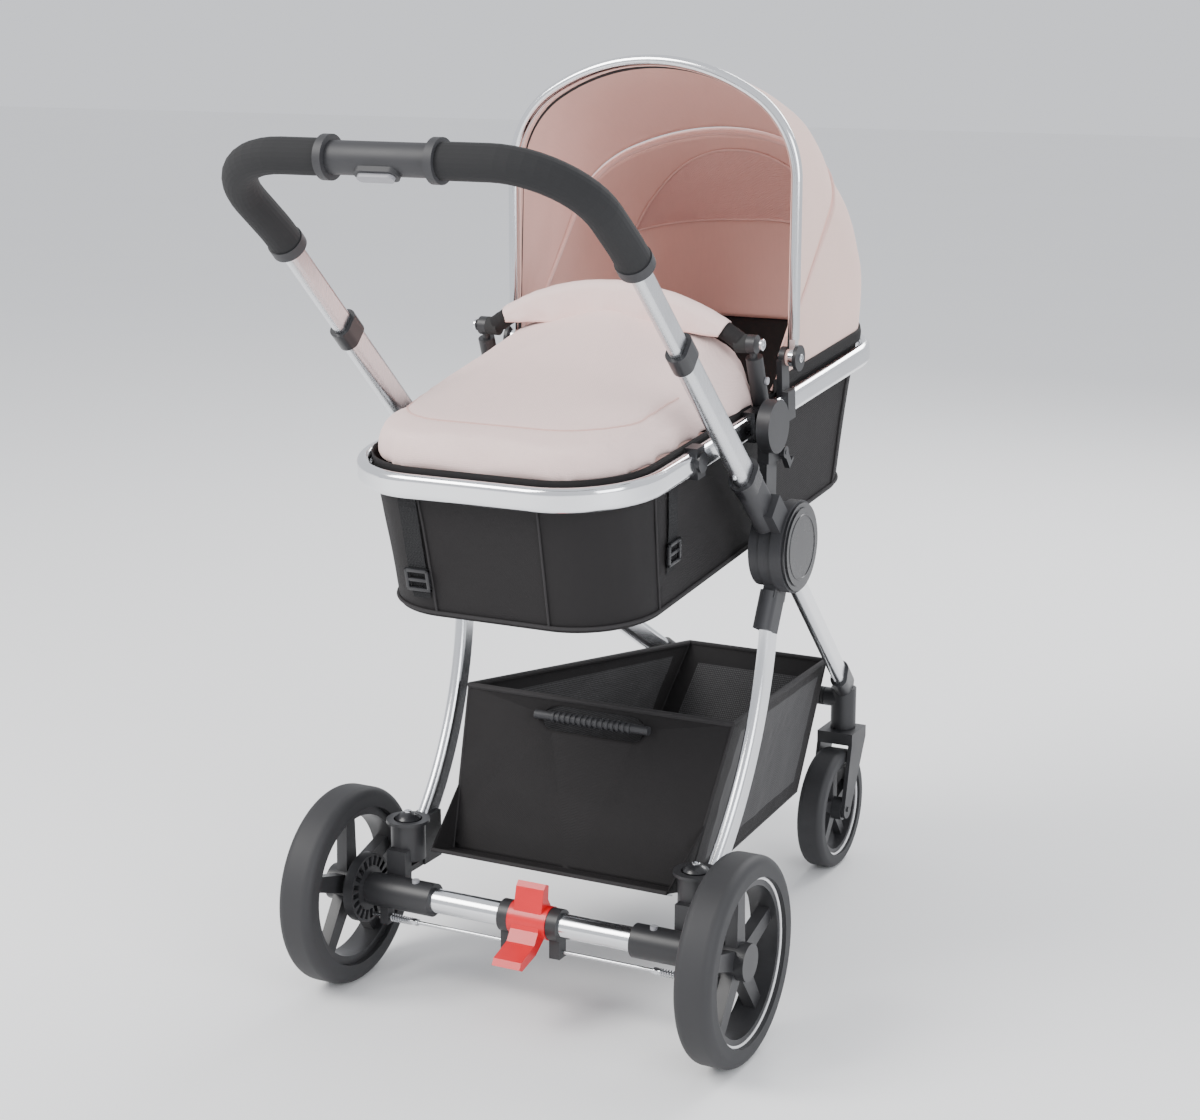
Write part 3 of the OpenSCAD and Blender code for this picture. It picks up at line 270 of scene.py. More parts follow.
windowCloth = makeCloth("windowCloth", (0.84, 0.53, 0.48), pitch=0.0020, depth=0.0005, sheen=0.15, crumple=0.0022)
blackCloth = makeCloth("blackCloth", palette["black"], sheen=0.06, shade=0.25, crumple=0.0014, rough=0.7)
blackBand = makeCloth("blackBand", (0.013, 0.012, 0.0125), "Object", sheen=0.05, shade=0.2, rough=0.75)
webbing = makeCloth("webbing", (0.018, 0.018, 0.019), "Object", pitch=0.0022, depth=0.0006, sheen=0.1, shade=0.3)
netCloth = makeMesh("netCloth", (0.017, 0.016, 0.017), (0.075, 0.073, 0.075))
# the rib sleeve takes the lining's darker colour, which is painted shade
ribSleeve = makeCloth("ribSleeve", palette["hoodInsidePaintedShade"], "Object", sheen=0.2)
pinkThread = makeCloth("pinkThread", (0.82, 0.55, 0.50), "Object", pitch=0.0008, sheen=0.2)
blackThread = makeCloth("blackThread", (0.035, 0.033, 0.034), "Object", pitch=0.0008, sheen=0.1)

nodeMaterials = {
    chrome: ["seat_ring", "hood_bow"],
    legMetal: ["front_legs", "rear_leg_tubes", "front_cross_bar"],
    armMetal: ["push_tubes", "handle_tube"],
    axleMetal: ["axle_tube"],
    brightSteel: ["stub_axles", "brake_rod_left", "brake_rod_right", "snap_buttons"],
    blackMoulding: [
        "castor_housings", "seat_posts", "leg_shoes", "axle_housings", "pedal_brackets", "seat_discs",
        "seat_levers", "bumper_posts", "hood_pivots", "castor_fork_left", "castor_fork_right",
    ],
    ribSleeve: ["hood_rib"],
    glossMoulding: ["hub_caps", "spring_domes", "telescope_collars", "fold_collars", "ring_clips"],
    matteMoulding: [
        "hub_inner_housings", "rear_leg_hubs", "arm_hubs", "foam_collars", "handle_grip", "basket_grab_bar",
    ],
    greyButton: ["wheel_release_buttons", "handle_button", "bumper_button_left", "bumper_button_right"],
    bushRubber: ["cross_bar_bushes"],
    tyreRubber: ["rear_tyre_left", "rear_tyre_right", "front_tyre_left", "front_tyre_right"],
    rimMoulding: ["rear_rim_left", "rear_rim_right", "front_rim_left", "front_rim_right"],
    foamSkin: ["handle_foam"],
    redMoulding: ["brake_pedal"],
}
for material, names in nodeMaterials.items():
    for name in names:
        nodes[name].data.materials.clear()
        nodes[name].data.materials.append(material)


# Helpers that make pieces

def makePiece(bm, name, materials, body, replaces=(), sharp=35, ride=True):
    mesh = bpy.data.meshes.new(name)
    bm.to_mesh(mesh)
    bm.free()
    for material in materials:
        mesh.materials.append(material)
    mesh.shade_smooth()
    if sharp:
        mesh.set_sharp_from_angle(angle=rad(sharp))
    obj = bpy.data.objects.new(name, mesh)
    bpy.context.scene.collection.objects.link(obj)
    if ride:
        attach(obj, body)
    if replaces:
        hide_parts(*replaces)
    return obj


def bakeModifiers(obj):
    # keeps the object and swaps its mesh for the finished one
    graph = bpy.context.evaluated_depsgraph_get()
    graph.update()
    mesh = bpy.data.meshes.new_from_object(obj.evaluated_get(graph))
    obj.modifiers.clear()
    obj.data = mesh


def thicken(obj, thickness, offset=-1.0, inside=0, rim=0):
    mod = obj.modifiers.new("thickness", "SOLIDIFY")
    mod.thickness = thickness
    mod.offset = offset
    mod.material_offset = inside
    mod.material_offset_rim = rim
    mod.use_even_offset = False


def soften(obj, levels=1):
    mod = obj.modifiers.new("soften", "SUBSURF")
    mod.levels = mod.render_levels = levels


def addSheet(bm, columns, rows, place, size=(1, 1), index=0):
    # a grid whose two directions run from 0 to 1, each point moved to where place says
    before = set(bm.verts)
    uvLayer = bm.loops.layers.uv.verify()
    bmesh.ops.create_grid(bm, x_segments=columns, y_segments=rows, size=0.5)
    fresh = [v for v in bm.verts if v not in before]
    faces = {f for v in fresh for f in v.link_faces}
    low = [min(v.co[k] for v in fresh) for k in (0, 1)]
    span = [max(v.co[k] for v in fresh) - low[k] for k in (0, 1)]
    share = {v: ((v.co.x - low[0]) / span[0], (v.co.y - low[1]) / span[1]) for v in fresh}
    for face in faces:
        face.material_index = index(*share[face.verts[0]]) if callable(index) else index
        for loop in face.loops:
            a, b = share[loop.vert]
            loop[uvLayer].uv = (a * size[0], b * size[1])
    for v in fresh:
        v.co = place(*share[v])
    return fresh


def faceAway(bm, centre):
    bmesh.ops.recalc_face_normals(bm, faces=bm.faces)
    score = sum((f.calc_center_median() - centre).dot(f.normal) * f.calc_area() for f in bm.faces)
    if score < 0:
        bmesh.ops.reverse_faces(bm, faces=bm.faces)


def addTube(bm, points, radius, closed=False, index=0, sides=3):
    # a round cord through the points
    curve = bpy.data.curves.new("line", "CURVE")
    curve.dimensions = "3D"
    curve.bevel_depth = radius
    curve.bevel_resolution = sides
    curve.use_fill_caps = not closed
    spline = curve.splines.new("POLY")
    spline.points.add(len(points) - 1)
    for k, p in enumerate(points):
        spline.points[k].co = (*p, 1)
    spline.use_cyclic_u = closed
    holder = bpy.data.objects.new("line", curve)
    bpy.context.scene.collection.objects.link(holder)
    graph = bpy.context.evaluated_depsgraph_get()
    mesh = bpy.data.meshes.new_from_object(holder.evaluated_get(graph))
    before = len(bm.faces)
    bm.from_mesh(mesh)
    bm.faces.ensure_lookup_table()
    for face in bm.faces[before:]:
        face.material_index = index
    bpy.data.objects.remove(holder)
    bpy.data.curves.remove(curve)
    bpy.data.meshes.remove(mesh)


def addSpin(bm, profile, centre, axis, across, steps=48, index=0):
    # profile is (distance along the axis, radius) pairs, closed, turned a full circle
    axis, across = Vector(axis).normalized(), Vector(across).normalized()
    verts = [bm.verts.new(centre + axis * a + across * r) for a, r in profile]
    edges = [bm.edges.new((verts[k], verts[(k + 1) % len(verts)])) for k in range(len(verts))]
    before = len(bm.faces)
    bmesh.ops.spin(bm, geom=verts + edges, cent=centre, axis=axis, angle=math.tau, steps=steps, use_merge=True)
    bm.faces.ensure_lookup_table()
    made = list(bm.faces)[before:]
    bmesh.ops.recalc_face_normals(bm, faces=made)
    for face in made:
        face.material_index = index


def addBlock(bm, size, matrix, bevel=0.001, segments=2, index=0):
    made = bmesh.ops.create_cube(bm, size=1.0)["verts"]
    bmesh.ops.scale(bm, vec=Vector(size), verts=made)
    edges = list({e for v in made for e in v.link_edges})
    result = bmesh.ops.bevel(bm, geom=edges, offset=bevel, offset_type="OFFSET", segments=segments,
                             profile=0.5, affect="EDGES", material=-1, clamp_overlap=True)
    verts = list({v for f in result["faces"] for v in f.verts} | {v for v in made if v.is_valid})
    bmesh.ops.transform(bm, matrix=matrix, verts=verts)
    for face in {f for v in verts for f in v.link_faces}:
        face.material_index = index


def facing(place, direction, up=Vector((0, 0, 1))):
    # a frame at place with its Z along direction
    z = Vector(direction).normalized()
    x = up.cross(z)
    x = x.normalized() if x.length > 1e-4 else Vector((1, 0, 0))
    y = z.cross(x)
    return Matrix.Translation(place) @ Matrix((x, y, z)).transposed().to_4x4()


def addScrew(bm, place, direction, radius, height, index=0, socket=0.5):
    # a low round head with a chamfered edge and a six-sided socket
    before = set(bm.verts)
    made = bmesh.ops.create_cone(bm, cap_ends=True, segments=24, radius1=radius, radius2=radius, depth=height)["verts"]
    top = [f for f in {f for v in made for f in v.link_faces} if f.normal.z > 0.9]
    bmesh.ops.inset_region(bm, faces=top, thickness=radius * 0.16, depth=radius * 0.12)
    bmesh.ops.inset_region(bm, faces=top, thickness=radius * (0.84 - socket), depth=0)
    bmesh.ops.inset_region(bm, faces=top, thickness=radius * 0.04, depth=-height * 0.6)
    grown = [v for v in bm.verts if v not in before]
    bmesh.ops.transform(bm, matrix=facing(place, direction), verts=grown)
    for face in {f for v in grown for f in v.link_faces}:
        face.material_index = index


def loopAround(t, half, foot, head, r):
    # a rectangle with round corners; t goes once round from the right-hand side's foot end
    shares = (0.13, 0.155, 0.06, 0.155, 0.13, 0.155, 0.06, 0.155)
    t = (t % 1.0) * sum(shares)
    k = 0
    while k < 7 and t > shares[k]:
        t -= shares[k]
        k += 1
    f = t / shares[k]
    if k == 0:
        return half, mix(foot + r, head - r, f)
    if k == 2:
        return mix(half - r, r - half, f), head
    if k == 4:
        return -half, mix(head - r, foot + r, f)
    if k == 6:
        return mix(r - half, half - r, f), foot
    angle = rad(45 * (k - 1) + 90 * f)
    cx = half - r if k in (1, 7) else r - half
    cy = head - r if k in (1, 3) else foot + r
    return cx + r * math.cos(angle), cy + r * math.sin(angle)


def inflate(obj, pressure, steps, cap, held=None):
    # blows a closed cloth up for a few frames, then keeps the result within cap of where it was
    mod = obj.modifiers.new("cloth", "CLOTH")
    cloth = mod.settings
    cloth.quality = 5
    cloth.mass = 0.25
    cloth.tension_stiffness = cloth.compression_stiffness = 12
    cloth.shear_stiffness = 4
    cloth.bending_stiffness = 0.6
    cloth.use_pressure = True
    cloth.uniform_pressure_force = pressure
    cloth.effector_weights.gravity = 0
    mod.collision_settings.use_collision = False
    if held:
        group = obj.vertex_groups.new(name="held")
        group.add([v.index for v in obj.data.vertices if held(v.co)], 1.0, "REPLACE")
        cloth.vertex_group_mass = "held"
    mod.point_cache.frame_start, mod.point_cache.frame_end = 1, steps
    for k in range(1, steps + 1):
        bpy.context.scene.frame_set(k)
    graph = bpy.context.evaluated_depsgraph_get()
    moved = [v.co.copy() for v in obj.evaluated_get(graph).data.vertices]
    obj.modifiers.remove(mod)
    for v, place in zip(obj.data.vertices, moved):
        push = place - v.co
        if push.length > cap:
            push *= cap / push.length
        v.co += push
    obj.vertex_groups.clear()
    bpy.context.scene.frame_set(1)


def voxelCopy(obj, size):
    mod = obj.modifiers.new("voxels", "REMESH")
    mod.mode = "VOXEL"
    mod.voxel_size = size
    mod.use_smooth_shade = True
    bakeModifiers(obj)


def relax(obj, times, factor=0.5):
    bm = bmesh.new()
    bm.from_mesh(obj.data)
    for _ in range(times):
        bmesh.ops.smooth_vert(bm, verts=bm.verts, factor=factor, use_axis_x=True, use_axis_y=True, use_axis_z=True)
    bm.to_mesh(obj.data)
    bm.free()


def pressSeam(obj, path, width, depth):
    # pulls the cloth in along a sewn line
    tree = kdtree.KDTree(len(path))
    for k, p in enumerate(path):
        tree.insert(p, k)
    tree.balance()
    normals = [v.normal.copy() for v in obj.data.vertices]
    for v, n in zip(obj.data.vertices, normals):
        distance = tree.find(v.co)[2]
        if distance < width:
            v.co -= n * depth * (1 - distance / width) ** 2


def surfacePath(obj, points, lift):
    # the path's points moved to the nearest place on the piece, raised a little
    tree = BVHTree.FromPolygons([v.co for v in obj.data.vertices], [p.vertices for p in obj.data.polygons])
    found = [tree.find_nearest(p) for p in points]
    return [f[0] + f[1] * lift for f in found]


def dense(points, step=0.002):
    out = [points[0]]
    for a, b in zip(points, points[1:]):
        count = max(1, int((b - a).length / step))
        out += [a.lerp(b, (k + 1) / count) for k in range(count)]
    return out


# Apron over the foot end

apronLook = {
    "voxel": 0.0055, "pressure": 4.0, "steps": 16, "puff": 0.009,
    # the seam of the boxed foot panel, its height over the ring and how far it runs towards the head
    "seam": (154.7, -314.3, 100, 86), "seamHeight": 60, "seamEnd": 28, "seamWidth": 0.009, "seamDepth": 0.0022,
}


def makeApron():
    # the padded cover with its boxed foot panel and the standing arch at its head end
    k = apronLook
    source = nodes["apron"]
    mesh = source.data.copy()
    mesh.transform(source.matrix_world)
    obj = bpy.data.objects.new("apronCover", mesh)
    bpy.context.scene.collection.objects.link(obj)
    mesh.materials.clear()
    mesh.materials.append(pinkPad)
    onRing = cotMatrix.inverted()
    voxelCopy(obj, k["voxel"])
    inflate(obj, k["pressure"], k["steps"], k["puff"], held=lambda p: (onRing @ p).z < 4)
    relax(obj, 3)
    count = 240
    top = [onCot(*loopAround(t / count, *k["seam"]), k["seamHeight"]) for t in range(count)]
    start = min(range(count), key=lambda n: -((onRing @ top[n]).y))
    seamPath = [top[(start + n) % count] for n in range(count)]
    seamPath = [p for p in seamPath if (onRing @ p).y < k["seamEnd"]]
    pressSeam(obj, dense(surfacePath(obj, seamPath, 0)), k["seamWidth"], k["seamDepth"])
    soften(obj)
    bakeModifiers(obj)
    obj.data.materials.clear()
    obj.data.materials.append(pinkPad)
    obj.data.shade_smooth()
    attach(obj, "carrycot")
    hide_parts("apron")
    cord = bmesh.new()
    addTube(cord, surfacePath(obj, dense(seamPath, 0.006), 0.0003), 0.0011, sides=2)
    makePiece(cord, "apronPiping", [pinkThread], "carrycot")


print("pram: apron")
makeApron()


# Mattress

mattressLook = {"puff": 0.006, "voxel": 0.006, "pressure": 3.0}


def makeMattress():
    k = mattressLook
    source = nodes["mattress"]
    mesh = source.data.copy()
    mesh.transform(source.matrix_world)
    obj = bpy.data.objects.new("mattressPad", mesh)
    bpy.context.scene.collection.objects.link(obj)
    mesh.materials.clear()
    mesh.materials.append(pinkPad)
    voxelCopy(obj, k["voxel"])
    inverse = cotMatrix.inverted()
    inflate(obj, k["pressure"], 12, k["puff"], held=lambda p: (inverse @ p).z < -168)
    relax(obj, 2)
    soften(obj)
    bakeModifiers(obj)
    obj.data.materials.clear()
    obj.data.materials.append(pinkPad)
    obj.data.shade_smooth()
    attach(obj, "carrycot")
    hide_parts("mattress")


print("pram: mattress")
makeMattress()


# Carrycot shell

tubLook = {
    "top": (185.6, -369.0, 478.0, 104), "bottom": (174.6, -341.0, 410.0, 98),
    "high": 20.0, "low": -176.0, "wrinkle": 1.1,
    # the cut: a band round the walls and a floor panel with round corners
    "hemLength": 2.26, "bandDepth": 0.20, "floor": (0.75, 0.35),
}


def tubPoint(t, v, shift=0.0):
    # v runs from the floor's edge at 0 to the hem at 1
    k = tubLook
    a = loopAround(t, *k["bottom"])
    b = loopAround(t, *k["top"])
    x, u = mix(a[0], b[0], v), mix(a[1], b[1], v)
    w = mix(k["low"], k["high"], v)
    nx, nu = b[0] / 190, (b[1] - 55) / 430
    length = math.hypot(nx, nu)
    nx, nu = nx / length, nu / length
    side = math.sin(math.pi * min(1, max(0, v)))
    folds = wobble(t * 46, v * 2.6) * 0.7 + wobble(t * 14, v * 5.2, 3) * 0.5
    out = shift + k["wrinkle"] * folds * side - 1.5 * side
    return onCot(x + nx * out, u + nu * out, w)


def makeTub():
    k = tubLook
    bm = bmesh.new()
    addSheet(bm, 320, 22, tubPoint, (k["hemLength"], 0.2))
    middle = tubPoint(0.0, 0.0).lerp(tubPoint(0.5, 0.0), 0.5)
    middle = middle.lerp(tubPoint(0.25, 0.0).lerp(tubPoint(0.75, 0.0), 0.5), 0.5)

    def floorPoint(a, b):
        # rings from the middle of the floor out to the foot of the walls
        return middle.lerp(tubPoint(a, 0.0), b)

    addSheet(bm, 320, 24, floorPoint, (k["hemLength"], 0.35))
    bmesh.ops.remove_doubles(bm, verts=bm.verts, dist=0.00005)
    faceAway(bm, onCot(0, 50, -80))
    obj = makePiece(bm, "carrycotShell", [blackCloth], "carrycot", ("carrycot_body",), sharp=0)
    thicken(obj, 0.0022)
    bakeModifiers(obj)
    trim = bmesh.new()
    addTube(trim, [tubPoint(t / 220, 0.03, 1.6) for t in range(220)], 0.0022, closed=True)
    addTube(trim, [tubPoint(t / 220, 0.86, 1.3) for t in range(220)], 0.0012, closed=True)
    for t in (0.0, 0.13, 0.285, 0.345, 0.5, 0.63, 0.785, 0.845):
        addTube(trim, [tubPoint(t, 0.03 + 0.9 * n / 16, 1.3) for n in range(17)], 0.0015)
    makePiece(trim, "shellPiping", [blackThread], "carrycot")


print("pram: carrycot shell")
makeTub()


# Hood

hoodLook = {
    "front": (84.5, 199.5, 369.0), "middle": (42.5, 190.5, 370.0), "last": (38.0, 190.5, 370.0),
    "baseHalf": 187.0, "baseFoot": 63.0, "baseHead": 477.0, "baseR": 102, "baseW": 23.0,
    "shoulder": 58, "crown": 32, "thick": 2.2, "bulgeFront": 9.0, "bulgeBack": 34.0,
}


def archPoint(f, half, height):
    # f runs from the right-hand pivot at 0 over the top to the left-hand one at 1
    side = 1 if f <= 0.5 else -1
    g = min(f, 1 - f) * 2
    sr = 0.61 * half
    a, b = rad(hoodLook["shoulder"]), rad(hoodLook["crown"])
    cr = (half - sr * (1 - math.cos(a))) / math.sin(b)
    straight = height - sr * math.sin(a) - cr * (1 - math.cos(b))
    lengths = (straight, sr * a, cr * b)
    s = g * sum(lengths)
    if s <= straight:
        return side * half, s
    if s <= straight + lengths[1]:
        q = (s - straight) / sr
        return side * (half - sr * (1 - math.cos(q))), straight + sr * math.sin(q)
    q = b - (s - straight - lengths[1]) / cr
    return side * cr * math.sin(q), height - cr * (1 - math.cos(q))


def hoodAt(f, angle, half, height, out=0.0):
    x, h = archPoint(f, half, height)
    h += out
    x *= 1 + out / 260
    a = rad(angle)
    return onCot(x, 113 + h * math.cos(a), 61 + h * math.sin(a))


def frontPoint(f, t, out=0.0):
    # from the bow at 0 back to the middle rib at 1
    k = hoodLook
    angle = mix(k["front"][0] - 0.6, k["middle"][0] + 1.2, t)
    half = mix(k["front"][1], k["middle"][1], t)
    height = mix(k["front"][2], k["middle"][2], t)
    belly = math.sin(math.pi * t)
    rise = math.sin(math.pi * f)
    ripple = wobble(f * 13, t * 3.0) * 1.6 + wobble(f * 30, t * 5.5, 2) * 0.7
    drag = 1.1 * math.sin(f * 60 + t * 5) * (1 - rise) * belly
    lift = k["bulgeFront"] * belly * (0.35 + 0.65 * rise) * 0.6 + ripple * belly + drag
    return hoodAt(f, angle, half, height, lift + out)


def backEdge(f):
    # the base of the back panel, running round the head end of the ring
    k = hoodLook
    x0, u0 = k["baseHalf"], k["baseFoot"] + 20
    straight = k["baseHead"] - k["baseR"] - u0
    bend = k["baseR"] * math.pi / 2
    flat = 2 * (x0 - k["baseR"])
    total = 2 * straight + 2 * bend + flat
    s = f * total
    side = 1
    if s > total / 2:
        s, side = total - s, -1
    if s <= straight:
        return side * x0, u0 + s
    if s <= straight + bend:
        a = (s - straight) / k["baseR"]
        return side * (x0 - k["baseR"] * (1 - math.cos(a))), k["baseHead"] - k["baseR"] + k["baseR"] * math.sin(a)
    return side * (x0 - k["baseR"] - (s - straight - bend)), k["baseHead"]


def backPoint(f, t, out=0.0):
    # from the middle rib at 0 down to the ring at 1
    k = hoodLook
    x, h = archPoint(f, k["last"][1], k["last"][2])
    a = rad(k["last"][0] + 2.6)
    start = Vector((x, 113 + h * math.cos(a), 61 + h * math.sin(a)))
    bx, bu = backEdge(f)
    end = Vector((bx, bu, k["baseW"]))
    p = start.lerp(end, t)
    rise = math.sin(math.pi * f)
    belly = math.sin(math.pi * min(1, t * 1.02)) ** 0.9
    away = Vector((0.35 * p.x / 190, 0.9, 0.42)).normalized()
    sideways = Vector((p.x / 190, 0.0, 0.0)) * 2.5 * belly
    ripple = wobble(f * 12 + 7, t * 3.2) * 2.2 + wobble(f * 28, t * 6.0, 5) * 0.9
    p += away * (k["bulgeBack"] * belly * rise ** 1.1) + sideways
    p += Vector((p.x / 190, 0.7 * rise, 0.7 * rise)).normalized() * (ripple * belly + out)
    return cotMatrix @ p


def addWindow(bm, where, centre, size, index, cordIndex):
    # a gathered panel inside the hood with a piped border
    def spot(a, b):
        arch = abs(2 * a - 1) ** 2.4
        return centre[0] + (a - 0.5) * size[0], centre[1] + (arch + (1 - arch) * b - 0.5) * size[1]

    def place(a, b):
        f, t = spot(a, b)
        gather = 1.3 * math.sin(a * 75 + 2.2 * wobble(a * 9, b * 4)) * (0.35 + 0.65 * abs(2 * b - 1))
        puff = 3.2 * (1 - abs(2 * b - 1) ** 3) * (1 - abs(2 * a - 1) ** 4)
        return where(f, t, -(3.6 + puff + gather * 0.7))
    addSheet(bm, 150, 26, place, (0.24, 0.12), index)
    edge = [(a / 60, 0.0) for a in range(61)] + [(1 - a / 60, 1.0) for a in range(1, 60)]
    path = [where(*spot(a, b), -4.6) for a, b in edge]
    addTube(bm, path, 0.0021, closed=True, index=cordIndex)


def makeHood():
    k = hoodLook
    front = bmesh.new()
    addSheet(front, 190, 40, frontPoint, (1.05, 0.27))
    faceAway(front, onCot(0, 160, 130))
    piece = makePiece(front, "hoodFrontCloth", [hoodOutside, hoodInsidePaintedShade], "hood_mid",
                      ("hood_front_panel",), sharp=0, ride=False)
    # the inner face of the thickened cloth gets the lining copy with painted shade
    thicken(piece, k["thick"] / 1000, inside=1, rim=1)
    bakeModifiers(piece)
    frontPoint(0.5, 0.06)
    frontPoint(0.5, 0.97)
    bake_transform(piece)
    back = bmesh.new()
    addSheet(back, 190, 46, backPoint, (1.05, 0.40))
    faceAway(back, onCot(0, 190, 90))
    piece = makePiece(back, "hoodBackCloth", [hoodOutside, hoodInsidePaintedShade], "carrycot",
                      ("hood_back_panel",), sharp=0, ride=False)
    # the inner face of the thickened cloth gets the lining copy with painted shade
    thicken(piece, k["thick"] / 1000, inside=1, rim=1)
    bakeModifiers(piece)
    backPoint(0.5, 0.03)
    backPoint(0.5, 0.95)
    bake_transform(piece)
    window = bmesh.new()
    addWindow(window, backPoint, (0.5, 0.30), (0.34, 0.42), 0, 1)
    piece = makePiece(window, "hoodWindow", [windowCloth, pinkThread], "hood_mid", ride=False, sharp=0)
    backPoint(0.5, 0.03)
    backPoint(0.5, 0.95)
    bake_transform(piece)
    seams = bmesh.new()
    count = 130
    addTube(seams, [hoodAt(n / count, 42.2, 190.5, 371.6) for n in range(count + 1)], 0.0024)
    addTube(seams, [hoodAt(n / count, 42.2, 186.6, 363.6) for n in range(count + 1)], 0.0028)
    makePiece(seams, "ribPiping", [pinkThread], "hood_mid")
    hem = bmesh.new()

    def bandPoint(a, b):
        # the black edging that runs round the hood's foot
        x, u = backEdge(a)
        n = Vector((x / 190, max(0.0, (u - 330) / 150)))
        n = n.normalized() if n.length > 0 else Vector((1, 0))
        proud = 2.4 + 1.2 * math.sin(b * math.pi)
        return onCot(x + n.x * proud, u + n.y * proud, 19 + 17 * b)

    addSheet(hem, 160, 5, bandPoint, (0.9, 0.02))
    faceAway(hem, onCot(0, 200, 28))
    piece = makePiece(hem, "hoodFootBand", [blackBand], "carrycot", sharp=0)
    thicken(piece, 0.0016, offset=0)
    bakeModifiers(piece)
    edges = bmesh.new()
    addTube(edges, [hoodAt(n / count, 81.6, 199.0, 366.5) for n in range(count + 1)], 0.0022)
    makePiece(edges, "bowPiping", [blackThread], "hood_front")


print("pram: hood")
makeHood()


# Bumper

bumperLook = {"centreW": -147.5, "radius": 306.5, "u": 12, "bar": 11.3, "reach": 35.0, "flapReach": 30.5, "hang": 36}


def bumperAt(q, r, turn, drop=0.0):
    # q is degrees round the arch; turn runs round the bar from its top
    k = bumperLook
    a, b = rad(q), rad(turn)
    out = k["radius"] + r * math.cos(b) - drop
    return onCot(out * math.sin(a), k["u"] + r * math.sin(b), k["centreW"] + out * math.cos(a))


def makeBumper():
    k = bumperLook

    def wrap(a, b):
        q = (a - 0.5) * 2 * k["reach"]
        pucker = 0.5 * wobble(a * 60, math.cos(b * math.tau) * 2, math.sin(b * math.tau) * 2)
        return bumperAt(q, k["bar"] + 0.5 + pucker, b * 360)

    bm = bmesh.new()
    addSheet(bm, 240, 30, wrap, (0.42, 0.075))
    bmesh.ops.remove_doubles(bm, verts=bm.verts, dist=0.00003)
    bmesh.ops.recalc_face_normals(bm, faces=bm.faces)
    makePiece(bm, "bumperWrap", [blackCloth], "bumper", sharp=0)

    def flap(a, b):
        q = (a - 0.5) * 2 * k["flapReach"]
        s = (b - 0.5) * 2
        side = 1 if s >= 0 else -1
        crescent = max(0.0, 1 - abs(2 * a - 1) ** 2.2)
        hang = 5 + k["hang"] * crescent
        over = 0.42
        if abs(s) <= over:
            soft = 0.7 * wobble(a * 22, s * 3)
            return bumperAt(q, k["bar"] + 2.2 + soft, 90 * s / over)
        d = (abs(s) - over) / (1 - over)
        fold = 2.6 * math.sin(a * 34 + 2.4 * wobble(a * 6, side * 3)) + 1.8 * wobble(a * 17, d * 2, side * 5)
        r = k["bar"] + 2.2 + (fold * ease(d) * 0.9 + 1.2 * math.sin(d * 2.6)) + 1.6 * d
        return bumperAt(q, r, 90 * side, hang * d)

    bm = bmesh.new()
    addSheet(bm, 200, 54, flap, (0.34, 0.115))
    faceAway(bm, bumperAt(0, 0, 0, 40))
    obj = makePiece(bm, "bumperFlap", [pinkCloth], "bumper", ("bumper_flap",), sharp=0)
    thicken(obj, 0.0016)
    bakeModifiers(obj)
    hem = bmesh.new()
    for b in (0.0, 1.0):
        addTube(hem, [flap(n / 120, b) for n in range(121)], 0.0013)
    makePiece(hem, "flapHem", [pinkThread], "bumper")


print("pram: bumper")
makeBumper()


# Shopping basket

basketLook = {
    "rearLow": (172, 92, 170), "rearHigh": (196, 182, 370),
    "frontLow": (128.5, 567, 150), "frontHigh": (112.5, 714, 309),
    "lip": (172, 36, 186), "hole": (75, 15), "holeDrop": 24, "sag": 5.0,
}


def basketCorner(name, side):
    x, y, z = basketLook[name]
    return Vector((side * x, y, z))


def patch(corners, bow, ruffle=0.8):
    # a bilinear cloth panel, bowed along the direction given, with soft wrinkles
    p00, p10, p01, p11 = corners
    seed = p00.x * 0.01 + p01.z * 0.013

    def place(a, b):
        p = p00.lerp(p10, a).lerp(p01.lerp(p11, a), b)
        middle = math.sin(math.pi * a) * math.sin(math.pi * b)
        wrinkle = ruffle * (wobble(a * 9, b * 5, seed) * 2 + wobble(a * 26, b * 10, seed)) * middle ** 0.5
        return fromAxle(*(p + bow.normalized() * (bow.length * middle + wrinkle)))
    return place


